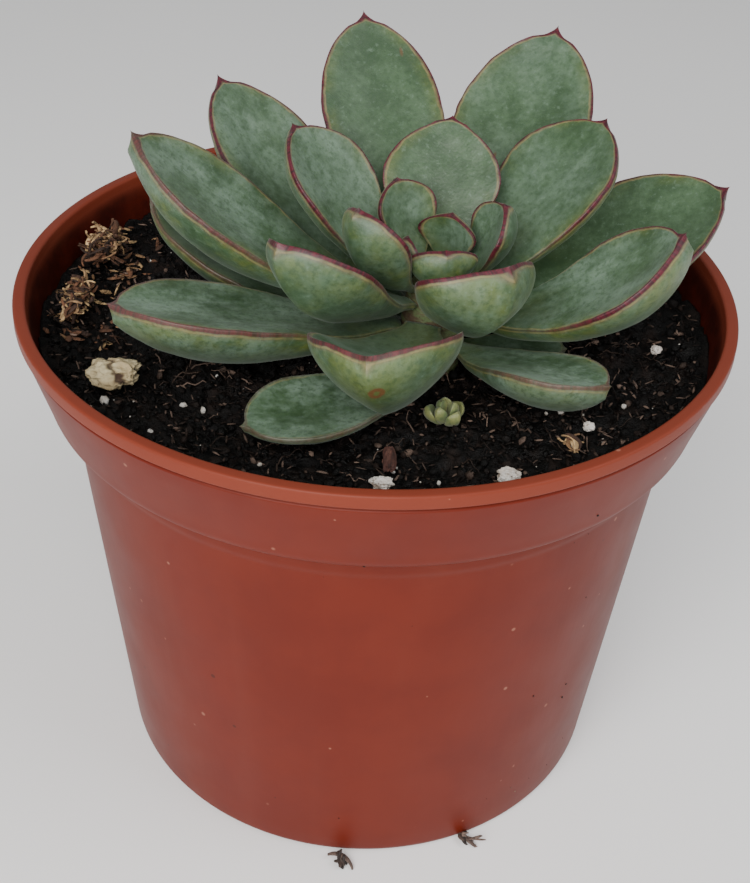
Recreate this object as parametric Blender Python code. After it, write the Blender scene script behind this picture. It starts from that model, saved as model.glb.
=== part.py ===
"""A rosette succulent in a round terracotta-coloured nursery pot.

The frame's origin is the centre of the pot's foot, +Z up and -Y towards the front.
Lengths are in millimetres and angles in degrees, and the meshes are in metres.
"""

import math
from typing import NamedTuple

import bmesh
import bpy
import numpy as np

MM = 0.001
CLEARANCE = 0.3  # between any two pieces that touch in the real plant

# Pot: a thin moulded shell with a flat lip, a collar and a tapered body
POT_HEIGHT = 81.0
RIM_RADIUS = 52.5
LIP_WIDTH = 1.8
LIP_HEIGHT = 2.0
LIP_OVERHANG = 0.4
LIP_ROUNDING = 0.5
COLLAR_HEIGHT = 14.6
COLLAR_BOTTOM_RADIUS = 49.4
COLLAR_ROUNDING = 1.6
BODY_TOP_RADIUS = 45.8
BASE_RADIUS = 39.6
CORNER_RADIUS = 1.2
WALL = 1.2
POT_SEGMENTS = 48

# Foot: a flat ring, with the pot's floor raised inside it and drained by round holes
FOOT_WIDTH = 4.0
FOOT_HEIGHT = 1.6
FLOOR_THICKNESS = 1.4
DRAIN_COUNT = 8
DRAIN_RADIUS = 3.0
DRAIN_EDGE = 3.0  # from a hole's edge to the foot ring
DRAIN_TURN = 20.0

# Soil: fills the shell to a little under the lip
SOIL_BELOW_RIM = 6.0  # at the wall
SOIL_DISH = 3.0  # how much lower it lies in the middle
SOIL_BUMPS = 0.4
SOIL_GAP = 0.6  # to the wall, level: the wall's steps bring the two closer

# Stem: a short stub, rooted in the soil, that every leaf grows from
STEM_X = 8.0
STEM_Y = -8.0
STEM_RADIUS = 4.4
STEM_HEIGHT = 16.0
STEM_DEPTH = 12.0
STEM_SEGMENTS = 16
NECK_GAP = 0.45  # from the stem to the middle of a leaf's neck

# Loose pieces
LUMP_LIFT = 0.4  # over the clearance, because the soil's facets cut its curve
GROUND_GAP = 0.1  # under the scraps on the ground, and beside them

# The planting is drawn for a bed of soil of this radius, and grows or shrinks with it
DRAWN_SOIL_RADIUS = 48.9

# Leaf blade: shares of the length and of the greatest width
PINCH_SHARE = 0.6
PINCH_END = 0.2
BLADE_END = 0.962
POINT_SHARE = 0.26
POINT_LENGTH = 0.055
POINT_POWER = 1.6
ARCH_POWER = 2.2
LAST_STATION = 0.99
LEAF_STATIONS = 13
LEAF_SIDES = 12


class Leaf(NamedTuple):
    """One leaf: where it grows from the stem, and its midrib and blade."""

    height: float  # of its base over the middle of the soil
    azimuth: float  # the way it grows, anticlockwise from +X
    base_pitch: float  # rise of the midrib at the stem
    tip_pitch: float  # and at the tip
    length: float  # along the midrib
    width: float
    thickness: float
    roll: float = 0.0  # turn of the blade about the midrib, left margin up
    sweep: float = 0.0  # turn of the midrib to the left on its way out
    cup: float = 0.22  # lift of the margins, as a share of half the width
    neck: float = 0.34  # width of the neck, as a share of the greatest
    widest: float = 0.64  # where the blade is widest, as a share of its length
    arch: float = 0.62  # from 0.5, a round end, to 1, a pointed one


# From the lowest and oldest leaf up to the heart of the rosette
LEAVES = (
    Leaf(3.8, -117, -3, 7, 32, 15, 2.8, sweep=-40, cup=0.16, widest=0.66, arch=0.52),
    Leaf(3.7, 51, -1, 12, 31, 14, 3.0, cup=0.20),
    Leaf(4.5, 85, 1, 18, 38, 15, 3.5, cup=0.20),
    Leaf(4.0, -6, -4, 8, 15, 9, 2.5, cup=0.20),
    Leaf(5.2, -45, 3, 16, 26, 14, 4.5, roll=-12, sweep=14, cup=0.20),
    Leaf(3.5, 122, 0, 12, 37, 15, 3.5, cup=0.20),
    Leaf(5.0, 160, 0, 34, 43, 16, 4.5, cup=0.20),
    Leaf(7.2, -163, 3, 19, 42, 18, 6.0, roll=8, arch=0.54),
    Leaf(5.8, 30, 7, 38, 45, 20, 5.0, roll=18, sweep=-24),
    Leaf(7.5, 66, 22, 50, 50, 21, 5.0, cup=0.20),
    Leaf(7.0, 141, 16, 50, 46, 18, 5.0),
    Leaf(9.0, 107, 27, 50, 47, 18.5, 5.0, cup=0.20),
    Leaf(8.8, -106, -4, 48, 31, 20, 5.6, roll=10, cup=0.44, neck=0.44, widest=0.62, arch=0.54),
    Leaf(9.5, 177, 14, 50, 45, 17, 6.0, roll=-4, cup=0.25),
    Leaf(9.0, -14, 4, 60, 35, 16, 6.0, roll=12, cup=0.25),
    Leaf(10.5, 36, 30, 50, 33, 19, 5.0),
    Leaf(11.5, 150, 34, 54, 28, 16, 4.5, cup=0.25),
    Leaf(11.5, -141, 20, 50, 28, 15, 5.0, roll=12, cup=0.25),
    Leaf(12.5, 90, 38, 54, 24, 17, 4.5, sweep=-14, cup=0.20, widest=0.58, arch=0.80),
    Leaf(12.0, -74, 24, 60, 19, 18, 5.0, roll=-14, sweep=40, cup=0.25),
    Leaf(13.5, -144, 38, 74, 18, 11, 3.5, roll=10, cup=0.28),
    Leaf(13.5, 12, 44, 84, 13, 11, 3.0, cup=0.28),
    Leaf(14.5, 130, 46, 76, 13, 10, 2.5, cup=0.28),
    Leaf(14.3, -82, 44, 80, 9, 9.6, 2.4, cup=0.28),
    Leaf(14.5, 62, 60, 110, 8, 9, 2.0, cup=0.30),
    Leaf(15.0, -164, 60, 90, 6, 5, 2.0, cup=0.30),
)


class Lump(NamedTuple):
    """A loose piece on the soil: its middle and size in plan, its height and its turn."""

    name: str
    x: float
    y: float
    length: float
    width: float
    height: float
    turn: float
    bumps: float
    finish: str


LUMPS = (
    Lump("gravel_stone", -35.2, -22.2, 8.2, 5.0, 4.2, 25, 0.16, "beige_gravel"),
    Lump("bark_tuft_front", -44.3, -2.6, 12.0, 6.0, 5.0, 90, 0.20, "bark_shreds"),
    Lump("bark_tuft_back", -42.6, 13.4, 12.6, 6.2, 6.0, 70, 0.20, "bark_shreds"),
    Lump("bark_chip", 2.6, -35.4, 6.0, 1.6, 1.2, -78, 0.10, "red_bark"),
    Lump("bark_curl", 26.5, -31.6, 4.0, 3.0, 2.2, 40, 0.14, "bark_shreds"),
    Lump("perlite_1", 1.8, -42.3, 3.2, 2.3, 2.2, 10, 0.16, "white_perlite"),
    Lump("perlite_2", 17.8, -40.2, 3.0, 2.2, 2.2, -20, 0.16, "white_perlite"),
    Lump("perlite_3", 41.2, -6.4, 1.9, 1.5, 1.4, 30, 0.12, "white_perlite"),
    Lump("perlite_4", 29.4, -26.2, 2.0, 1.6, 1.4, 70, 0.12, "white_perlite"),
    Lump("offset_bud", 10.2, -25.0, 3.6, 3.2, 3.8, 0, 0.14, "pale_bud"),
)

LUMP_FINISHES = {
    "beige_gravel": ((0.52, 0.42, 0.25), 0.9),
    "bark_shreds": ((0.30, 0.16, 0.08), 0.85),
    "red_bark": ((0.22, 0.07, 0.045), 0.85),
    "white_perlite": ((0.75, 0.72, 0.65), 0.9),
    "pale_bud": ((0.35, 0.42, 0.16), 0.55),
}


class Scrap(NamedTuple):
    """A dark root scrap that lies on the ground against the foot."""

    name: str
    azimuth: float  # of its thick end
    heading: float  # the way it points
    length: float
    radius: float


SCRAPS = (
    Scrap("root_scrap_front", -94.5, -38, 4.4, 0.8),
    Scrap("root_scrap_right", -65.5, 22, 4.6, 0.9),
)
SCRAP_SIDES = 8
SCRAP_TAPER = 0.6  # how much of its radius a scrap loses towards its thin end


def smooth(share):
    """0 below 0, 1 above 1, and a smooth S between."""
    share = np.clip(share, 0.0, 1.0)
    return share * share * (3.0 - 2.0 * share)


def soil_edge(level):
    """The soil's radius at a height inside the shell."""
    wall_radius, wall_height = np.array(inner_wall()).T
    return float(np.interp(level, wall_height, wall_radius)) - SOIL_GAP


def planting_scale():
    """How much larger than drawn the plant and the loose pieces on the soil are."""
    return soil_edge(POT_HEIGHT - SOIL_BELOW_RIM) / DRAWN_SOIL_RADIUS


def soil_top():
    return POT_HEIGHT - SOIL_BELOW_RIM - SOIL_DISH


def stem_centre():
    return STEM_X * planting_scale(), STEM_Y * planting_scale()


def stem_radius_at(height):
    """The stem is a round stub under a blunt dome."""
    return STEM_RADIUS * math.sqrt(max(0.0, 1.0 - (max(0.0, height) / STEM_HEIGHT) ** 4))


def pinch(along):
    """The leaf narrows where it joins the stem."""
    return PINCH_SHARE + (1.0 - PINCH_SHARE) * smooth(along / PINCH_END)


def blade_half_width(leaf, along):
    """Half the blade's width: it widens from the neck, closes in an arch, and ends in a point."""
    opening = pinch(along) * (leaf.neck + (1.0 - leaf.neck) * smooth(along / leaf.widest))
    closing = np.clip((along - leaf.widest) / (BLADE_END - leaf.widest), 0.0, 1.0)
    arch = opening * (1.0 - closing**ARCH_POWER) ** leaf.arch
    point = POINT_SHARE * np.clip((1.0 - along) / POINT_LENGTH, 0.0, 1.0) ** POINT_POWER
    return 0.5 * leaf.width * (arch**3 + (point * (along > leaf.widest)) ** 3) ** (1.0 / 3.0)


def leaf_rings(leaf, stations=LEAF_STATIONS, sides=LEAF_SIDES):
    """The leaf's cross sections from the neck to just short of the tip, and the tip.

    The sections are points (stations, sides, 3).
    """
    along = LAST_STATION * (1.0 - (1.0 - np.linspace(0.0, 1.0, stations)) ** 1.25)
    fine = np.linspace(0.0, 1.0, 201)
    pitch = np.radians(leaf.base_pitch + (leaf.tip_pitch - leaf.base_pitch) * fine)
    heading = np.radians(leaf.azimuth + leaf.sweep * fine)
    run = np.stack(
        [np.cos(pitch) * np.cos(heading), np.cos(pitch) * np.sin(heading), np.sin(pitch)], axis=-1
    )
    steps = 0.5 * (run[1:] + run[:-1]) * leaf.length / (len(fine) - 1)
    midrib = np.concatenate([np.zeros((1, 3)), np.cumsum(steps, axis=0)])

    def at(values):
        return np.stack([np.interp(along, fine, column) for column in values.T], axis=-1)

    forward = at(run)
    left = at(np.stack([-np.sin(heading), np.cos(heading), np.zeros_like(heading)], axis=-1))
    up = np.cross(forward, left)
    roll = np.radians(leaf.roll * smooth(2.0 * along))[:, None]
    across = np.cos(roll) * left + np.sin(roll) * up
    up = np.cos(roll) * up - np.sin(roll) * left

    around = np.linspace(0.0, 2.0 * math.pi, sides, endpoint=False)[None, :]
    share = np.cos(around)
    upper = np.sin(around) > 0.0
    fullness = np.abs(np.sin(around)) ** 0.9
    closing = np.clip((along - 0.6) / 0.4, 0.0, 1.0)
    body = pinch(along) * (0.45 + 0.55 * smooth(along / 0.6))
    half = blade_half_width(leaf, along)[:, None]
    thick = np.minimum((leaf.thickness * body * (1.0 - 0.78 * closing**2.2))[:, None], 1.6 * half)
    lift = (leaf.cup * smooth(1.6 * along) * (1.0 - 0.25 * closing))[:, None]
    keel = 0.25 * thick * (1.0 - np.abs(share)) ** 2 * fullness * ~upper
    rise = np.where(upper, 0.16, -0.84) * thick * fullness - keel + lift * half * np.abs(share) ** 1.8

    out = np.radians(leaf.azimuth)
    base = stem_radius_at(leaf.height) + NECK_GAP
    start = np.array([base * math.cos(out), base * math.sin(out), leaf.height])
    rings = (
        (start + at(midrib))[:, None, :]
        + across[:, None, :] * (share * half)[..., None]
        + up[:, None, :] * rise[..., None]
    )
    stem_x, stem_y = stem_centre()
    foot = np.array([stem_x, stem_y, soil_top()])
    return rings * planting_scale() + foot, (start + midrib[-1]) * planting_scale() + foot


def rings_mesh(name, rings, start=None, end=None):
    """A closed surface through rings of points (count, sides, 3) in mm, with a pole at each end."""
    count, sides = rings.shape[:2]
    first = rings[0].mean(axis=0) if start is None else start
    last = rings[-1].mean(axis=0) if end is None else end
    points = np.concatenate([rings.reshape(-1, 3), [first], [last]]) * MM
    ring = np.arange(count * sides).reshape(count, sides)
    onward = np.roll(ring, -1, axis=1)
    walls = np.stack([ring[:-1], ring[1:], onward[1:], onward[:-1]], axis=-1).reshape(-1, 4)
    faces = [tuple(face) for face in walls.tolist()]
    faces += [(count * sides, a, b) for a, b in zip(ring[0].tolist(), onward[0].tolist())]
    faces += [(count * sides + 1, b, a) for a, b in zip(ring[-1].tolist(), onward[-1].tolist())]
    mesh = bpy.data.meshes.new(name)
    mesh.from_pydata(points.tolist(), [], faces)
    work = bmesh.new()
    work.from_mesh(mesh)
    bmesh.ops.recalc_face_normals(work, faces=work.faces)
    work.to_mesh(mesh)
    work.free()
    mesh.shade_smooth()
    return mesh


def turned_rings(profile, segments):
    """A profile of (radius, height) points carried round the Z axis."""
    around = np.linspace(0.0, 2.0 * math.pi, segments, endpoint=False)
    radius, height = np.array(profile).T
    return np.stack(
        [
            radius[:, None] * np.cos(around),
            radius[:, None] * np.sin(around),
            np.repeat(height[:, None], segments, axis=1),
        ],
        axis=-1,
    )


def material(name, colour, roughness, metallic=0.0):
    made = bpy.data.materials.new(name)
    made.use_nodes = True
    shader = made.node_tree.nodes["Principled BSDF"]
    shader.inputs["Base Color"].default_value = (*colour, 1.0)
    shader.inputs["Roughness"].default_value = roughness
    shader.inputs["Metallic"].default_value = metallic
    return made


def add_object(name, mesh, finish):
    made = bpy.data.objects.new(name, mesh)
    made.data.materials.append(finish)
    bpy.context.scene.collection.objects.link(made)
    return made


def add_cutter(name, mesh):
    cutter = bpy.data.objects.new(name, mesh)
    cutter.hide_render = True
    cutter.display_type = "WIRE"
    bpy.context.scene.collection.objects.link(cutter)
    return cutter


def cut(target, cutter):
    boolean = target.modifiers.new("cut_" + cutter.name, "BOOLEAN")
    boolean.operation = "DIFFERENCE"
    boolean.object = cutter


def arc(centre_radius, centre_height, radius, start, end, steps):
    """Points of a profile on an arc, from one angle to the other."""
    angles = np.radians(np.linspace(start, end, steps))
    return [
        (centre_radius + radius * math.cos(angle), centre_height + radius * math.sin(angle))
        for angle in angles
    ]


def collar_foot():
    """The height at which the collar turns in to the body."""
    return POT_HEIGHT - COLLAR_HEIGHT


def floor_top():
    return FOOT_HEIGHT + FLOOR_THICKNESS


def body_radius(height):
    """The body's outer radius, a straight taper from the foot to the collar."""
    share = height / collar_foot()
    return BASE_RADIUS + (BODY_TOP_RADIUS - BASE_RADIUS) * share


def inner_wall():
    """The inside of the shell as (radius, height) points, from the floor up to the lip."""
    shoulder = collar_foot()
    return [
        (body_radius(floor_top()) - WALL, floor_top()),
        (body_radius(shoulder - 1.0) - WALL, shoulder - 1.0),
        (COLLAR_BOTTOM_RADIUS - WALL - COLLAR_ROUNDING, shoulder + WALL * 0.4),
        (COLLAR_BOTTOM_RADIUS - WALL, shoulder + WALL + COLLAR_ROUNDING),
        (RIM_RADIUS - LIP_WIDTH, POT_HEIGHT - LIP_ROUNDING),
    ]


def pot_profile():
    """The whole section of the shell, from under the floor, out, up, over the lip and back down."""
    shoulder = collar_foot()
    lip_foot = POT_HEIGHT - LIP_HEIGHT
    lip_inner = RIM_RADIUS - LIP_WIDTH
    ring_inner = BASE_RADIUS - FOOT_WIDTH
    foot = [(ring_inner - 0.4, FOOT_HEIGHT), (ring_inner, FOOT_HEIGHT - 0.4), (ring_inner, 0.0)]
    corner = arc(BASE_RADIUS - CORNER_RADIUS, CORNER_RADIUS, CORNER_RADIUS, -90, 0, 4)
    body = [(BODY_TOP_RADIUS, shoulder - 0.4)]
    collar = arc(
        COLLAR_BOTTOM_RADIUS - COLLAR_ROUNDING, shoulder + COLLAR_ROUNDING, COLLAR_ROUNDING, -90, 0, 4
    )
    lip = [
        (RIM_RADIUS - LIP_OVERHANG, lip_foot - 0.3),
        (RIM_RADIUS, lip_foot),
        (RIM_RADIUS, POT_HEIGHT - LIP_ROUNDING),
        (RIM_RADIUS - LIP_ROUNDING, POT_HEIGHT),
        (lip_inner + LIP_ROUNDING, POT_HEIGHT),
    ]
    return foot + corner + body + collar + lip + inner_wall()[::-1]


def drain_cutters():
    """Round punches through the floor, inside the foot ring."""
    circle = BASE_RADIUS - FOOT_WIDTH - DRAIN_EDGE - DRAIN_RADIUS
    for number in range(DRAIN_COUNT):
        turn = 2.0 * math.pi * number / DRAIN_COUNT + math.radians(DRAIN_TURN)
        punch = turned_rings([(DRAIN_RADIUS, -1.0), (DRAIN_RADIUS, floor_top() + 1.0)], 16)
        punch += np.array([circle * math.cos(turn), circle * math.sin(turn), 0.0])
        yield add_cutter(f"drain_punch_{number + 1}", rings_mesh("drain_punch", punch))


def make_pot():
    finish = material("terracotta_plastic", (0.35, 0.075, 0.035), 0.42)
    middle_under = np.array([0.0, 0.0, FOOT_HEIGHT])
    middle_floor = np.array([0.0, 0.0, floor_top()])
    shell = rings_mesh("pot", turned_rings(pot_profile(), POT_SEGMENTS), middle_under, middle_floor)
    pot = add_object("pot", shell, finish)
    for punch in drain_cutters():
        cut(pot, punch)
    return pot


def soil_height(x, y):
    """The soil's surface: dished towards the middle, with low bumps."""
    reach = np.minimum(np.hypot(x, y) / (RIM_RADIUS - LIP_WIDTH), 1.0)
    bumps = np.sin(0.31 * x + 1.0) * np.cos(0.27 * y - 0.4) + 0.5 * np.sin(0.62 * y + 0.45 * x)
    return soil_top() + SOIL_DISH * reach**4 + SOIL_BUMPS * bumps * (1.0 - reach**6)


def make_soil():
    finish = material("potting_soil", (0.018, 0.012, 0.009), 0.95)
    top = POT_HEIGHT - SOIL_BELOW_RIM
    lowest = floor_top() + CLEARANCE
    levels = [lowest, *(height for _, height in inner_wall()[1:4]), top]
    edge = [(soil_edge(level), level) for level in levels]
    shares = (0.97, 0.85, 0.7, 0.52, 0.32, 0.14)
    surface = [(edge[-1][0] * share, top) for share in shares]
    rings = turned_rings(edge + surface, POT_SEGMENTS)
    on_top = rings[len(edge) :]
    on_top[..., 2] = soil_height(on_top[..., 0], on_top[..., 1])
    middle = np.array([0.0, 0.0, float(soil_height(0.0, 0.0))])
    mesh = rings_mesh("soil", rings, np.array([0.0, 0.0, lowest]), middle)
    soil = add_object("soil", mesh, finish)
    hole_radius = STEM_RADIUS * planting_scale() + CLEARANCE
    depth = soil_top() - STEM_DEPTH - CLEARANCE
    hole = turned_rings([(hole_radius, depth), (hole_radius, soil_top() + 5.0)], STEM_SEGMENTS)
    stem_x, stem_y = stem_centre()
    hole += np.array([stem_x, stem_y, 0.0])
    cut(soil, add_cutter("stem_hole", rings_mesh("stem_hole", hole)))
    return soil


def make_stem():
    finish = material("green_stem", (0.16, 0.22, 0.10), 0.6)
    scale = planting_scale()
    over_soil = [STEM_HEIGHT * share for share in (0.0, 0.4, 0.65, 0.82, 0.92, 0.98)]
    heights = [-STEM_DEPTH / scale, *over_soil]
    profile = [(stem_radius_at(height) * scale, height * scale) for height in heights]
    stem_x, stem_y = stem_centre()
    offset = np.array([stem_x, stem_y, soil_top()])
    rings = turned_rings(profile, STEM_SEGMENTS) + offset
    top = offset + np.array([0.0, 0.0, STEM_HEIGHT * scale])
    return add_object("stem", rings_mesh("stem", rings, None, top), finish)


def make_leaves():
    finish = material("glaucous_leaf", (0.13, 0.23, 0.15), 0.5)
    leaves = []
    for number, leaf in enumerate(LEAVES, start=1):
        name = f"leaf_{number:02d}"
        rings, tip = leaf_rings(leaf)
        leaves.append(add_object(name, rings_mesh(name, rings, None, tip), finish))
    return leaves


def lump_rings(lump, levels=6, sides=12):
    """A rounded lump's rings between its poles, with three low bumps and five smaller ones."""
    tilt = np.radians(np.linspace(-90.0, 90.0, levels + 2))[1:-1, None]
    around = np.linspace(0.0, 2.0 * math.pi, sides, endpoint=False)[None, :]
    bumps = np.sin(3.0 * around + lump.x) * np.cos(2.0 * tilt + lump.y)
    bumps = bumps + 0.5 * np.sin(5.0 * around - lump.y)
    swell = 1.0 + lump.bumps * bumps * np.cos(tilt)
    local_x = 0.5 * lump.length * np.cos(tilt) * np.cos(around) * swell
    local_y = 0.5 * lump.width * np.cos(tilt) * np.sin(around) * swell
    turn = math.radians(lump.turn)
    x = local_x * math.cos(turn) - local_y * math.sin(turn)
    y = local_x * math.sin(turn) + local_y * math.cos(turn)
    z = 0.5 * lump.height * np.sin(tilt) + 0.0 * around
    return np.stack([x, y, z], axis=-1)


def lump_place(lump):
    """The lump's middle, a clearance over the highest soil under it."""
    scale = planting_scale()
    x, y = lump.x * scale, lump.y * scale
    rings = lump_rings(lump)
    ground = soil_height(x + rings[..., 0], y + rings[..., 1])
    lowest = float(np.max(ground - rings[..., 2]))
    return np.array([x, y, lowest + CLEARANCE + LUMP_LIFT])


def make_lumps():
    finishes = {name: material(name, *look) for name, look in LUMP_FINISHES.items()}
    for lump in LUMPS:
        place = lump_place(lump)
        pole = np.array([0.0, 0.0, 0.5 * lump.height])
        mesh = rings_mesh(lump.name, lump_rings(lump) + place, place - pole, place + pole)
        add_object(lump.name, mesh, finishes[lump.finish])


def make_scraps():
    finish = material("dark_root", (0.012, 0.010, 0.009), 0.9)
    for scrap in SCRAPS:
        out = math.radians(scrap.azimuth)
        heading = math.radians(scrap.heading)
        start_radius = BASE_RADIUS + CLEARANCE + scrap.radius + GROUND_GAP
        start = np.array([start_radius * math.cos(out), start_radius * math.sin(out), 0.0])
        forward = np.array([math.cos(heading), math.sin(heading), 0.0])
        side = np.array([-forward[1], forward[0], 0.0])
        along = np.linspace(0.0, 1.0, 6)
        radius = scrap.radius * (1.0 - SCRAP_TAPER * along)
        around = np.linspace(0.0, 2.0 * math.pi, SCRAP_SIDES, endpoint=False)
        upward = np.array([0.0, 0.0, 1.0])
        spread = np.cos(around)[None, :, None] * side + np.sin(around)[None, :, None] * upward
        middle = start + (along * scrap.length)[:, None] * forward
        middle[:, 2] = radius + GROUND_GAP
        rings = middle[:, None, :] + radius[:, None, None] * spread
        add_object(scrap.name, rings_mesh(scrap.name, rings), finish)


def make_scene():
    for old in list(bpy.data.objects):
        bpy.data.objects.remove(old)
    make_pot()
    make_soil()
    make_stem()
    make_leaves()
    make_lumps()
    make_scraps()


if __name__ == "__main__":
    make_scene()
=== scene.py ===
"""The looks of a rosette succulent in a round nursery pot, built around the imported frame.

The frame gives every piece its place. Here each leaf becomes a fine keeled blade with a waxy
bloom and a dark red margin, the pot a smooth moulding, and the soil a bed of crumbs and fibres.
Lengths are in millimetres and angles in degrees, and the meshes are in metres.
"""

import logging
import math
from collections.abc import Iterable, Sequence
from dataclasses import dataclass, field
from enum import Enum

import bpy
import numpy as np
from mathutils import Matrix, Vector


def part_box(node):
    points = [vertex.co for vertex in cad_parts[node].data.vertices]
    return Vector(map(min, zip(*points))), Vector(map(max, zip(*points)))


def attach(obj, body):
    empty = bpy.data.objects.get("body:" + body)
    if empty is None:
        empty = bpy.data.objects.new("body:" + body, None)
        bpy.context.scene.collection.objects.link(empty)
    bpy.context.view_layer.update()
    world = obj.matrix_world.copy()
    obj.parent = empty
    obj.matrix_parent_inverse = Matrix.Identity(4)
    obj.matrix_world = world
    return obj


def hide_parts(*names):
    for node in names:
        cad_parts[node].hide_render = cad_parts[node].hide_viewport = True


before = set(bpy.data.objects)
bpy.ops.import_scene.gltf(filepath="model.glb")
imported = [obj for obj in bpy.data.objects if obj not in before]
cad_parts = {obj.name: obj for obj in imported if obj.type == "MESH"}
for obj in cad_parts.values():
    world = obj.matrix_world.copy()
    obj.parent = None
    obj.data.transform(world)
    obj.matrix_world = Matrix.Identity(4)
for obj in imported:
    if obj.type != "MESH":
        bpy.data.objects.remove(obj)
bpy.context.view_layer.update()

Socket = bpy.types.NodeSocket

MM = 0.001
BODY = "root"

# Lattice noise: one large prime for each axis, and a shift that keeps the cells positive
AXIS_PRIMES = (73856093, 19349663, 83492791)
LATTICE_SHIFT = 4096

# Loose crumbs: the share that lies tilted any way, the others being only turned on the spot
TILTED_SHARE = 0.35

# A strand's section starts from the strand's direction crossed with this axis
SLANTED_AXIS = (0.31, 0.17, 0.93)

log = logging.getLogger("succulent")


class Slot(Enum):
    """The record's material slots."""

    TERRACOTTA = "terracotta_plastic"
    SOIL = "potting_soil"
    STEM = "green_stem"
    LEAF = "glaucous_leaf"
    BUD = "pale_bud"
    GRAVEL = "beige_gravel"
    SHREDS = "bark_shreds"
    CHIP = "red_bark"
    PERLITE = "white_perlite"
    ROOT = "dark_root"


# ---------------------------------------------------------------- numbers and noise


def smooth(share: np.ndarray | float) -> np.ndarray:
    """0 below 0, 1 above 1, and 3s² - 2s³ between."""
    share = np.clip(share, 0.0, 1.0)
    return share * share * (3.0 - 2.0 * share)


def hashed(cells: np.ndarray, seed: int) -> np.ndarray:
    """A fixed number from -1 to 1 for each lattice point.

    Each whole coordinate is multiplied by its own large prime, the products are combined by
    exclusive or, and the result is stirred twice and scaled.

    Args:
        cells: whole coordinates, shape (..., 3).
        seed: picks one of many such fields.

    Returns:
        One value per lattice point.
    """
    cells = cells.astype(np.uint64)
    mixed = np.bitwise_xor.reduce(cells * np.array(AXIS_PRIMES, np.uint64), axis=-1)
    mixed ^= np.uint64(seed * 2654435761 + 97)
    for _ in range(2):
        mixed = (mixed ^ (mixed >> np.uint64(15))) * np.uint64(2246822519)
        mixed &= np.uint64(0xFFFFFFFF)
    return (mixed ^ (mixed >> np.uint64(13))) % np.uint64(65536) / 32767.5 - 1.0


def lattice_noise(points: np.ndarray, cell: float, seed: int) -> np.ndarray:
    """Smooth random values: numbers on a cubic lattice, blended between corners by 3t² - 2t³.

    Args:
        points: places in millimetres, shape (..., 3).
        cell: the lattice's spacing in millimetres.
        seed: picks the field.

    Returns:
        Values from -1 to 1, one per point.
    """
    scaled = points / cell
    low = np.floor(scaled)
    share = smooth(scaled - low)
    low = low.astype(np.int64) + LATTICE_SHIFT
    total = np.zeros(points.shape[:-1])
    for corner in range(8):
        step = np.array([corner >> 2 & 1, corner >> 1 & 1, corner & 1])
        weight = np.prod(np.where(step, share, 1.0 - share), axis=-1)
        total += weight * hashed(low + step, seed)
    return total


def rough_noise(points: np.ndarray, cell: float, seed: int, octaves: int = 3) -> np.ndarray:
    """Lattice noise summed over octaves, each half as wide and half as strong as the last."""
    return sum(
        lattice_noise(points, cell / 2**octave, seed + octave) / 2**octave
        for octave in range(octaves)
    )


def turns(generator: np.random.Generator, count: int) -> np.ndarray:
    """Random rotations, shape (count, 3, 3), from unit quaternions drawn on a 4-sphere."""
    drawn = generator.normal(size=(4, count))
    w, x, y, z = drawn / np.linalg.norm(drawn, axis=0)
    return np.stack(
        [
            np.stack([1 - 2 * (y * y + z * z), 2 * (x * y - z * w), 2 * (x * z + y * w)], axis=-1),
            np.stack([2 * (x * y + z * w), 1 - 2 * (x * x + z * z), 2 * (y * z - x * w)], axis=-1),
            np.stack([2 * (x * z - y * w), 2 * (y * z + x * w), 1 - 2 * (x * x + y * y)], axis=-1),
        ],
        axis=-2,
    )


# ---------------------------------------------------------------- surfaces


@dataclass
class Surface:
    """Points in millimetres, faces as index arrays of one size each, and values on the points."""

    points: np.ndarray
    faces: list[np.ndarray]
    values: dict[str, np.ndarray] = field(default_factory=dict)

    def volume(self) -> float:
        """Signed volume: the sum over triangles of a fan of a · (b × c) / 6."""
        total = 0.0
        for faces in self.faces:
            corners = self.points[faces]
            for third in range(2, faces.shape[1]):
                edge = np.cross(corners[:, third - 1], corners[:, third])
                total += float(np.einsum("ij,ij->", corners[:, 0], edge)) / 6.0
        return total

    def outward(self) -> "Surface":
        """The same surface with its faces pointing out."""
        if self.volume() < 0.0:
            self.faces = [faces[:, ::-1] for faces in self.faces]
        return self

    @staticmethod
    def join(parts: Iterable["Surface"]) -> "Surface":
        """Several surfaces with the same values as one.

        Args:
            parts: the surfaces, each with the same names among its values.

        Returns:
            One surface with all their points, faces and values.
        """
        parts = list(parts)
        starts = np.cumsum([0] + [len(part.points) for part in parts[:-1]])
        return Surface(
            np.concatenate([part.points for part in parts]),
            [faces + start for part, start in zip(parts, starts) for faces in part.faces],
            {
                name: np.concatenate([part.values[name] for part in parts])
                for name in parts[0].values
            },
        )

    def mesh(self, name: str, flat: bool = False) -> bpy.types.Mesh:
        """The mesh in metres, with each value as an attribute on its points."""
        made = bpy.data.meshes.new(name)
        made.vertices.add(len(self.points))
        made.vertices.foreach_set("co", (self.points * MM).astype(np.float32).ravel())
        corners = np.concatenate([faces.ravel() for faces in self.faces])
        sizes = np.concatenate([np.full(len(faces), faces.shape[1]) for faces in self.faces])
        made.loops.add(len(corners))
        made.loops.foreach_set("vertex_index", corners.astype(np.int32))
        made.polygons.add(len(sizes))
        made.polygons.foreach_set("loop_start", (np.cumsum(sizes) - sizes).astype(np.int32))
        made.update(calc_edges=True)
        made.validate()
        if not flat:
            made.shade_smooth()
        for key, value in self.values.items():
            kind, target = ("FLOAT_VECTOR", "vector") if value.ndim == 2 else ("FLOAT", "value")
            attribute = made.attributes.new(key, kind, "POINT")
            attribute.data.foreach_set(target, value.astype(np.float32).ravel())
        return made


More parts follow.
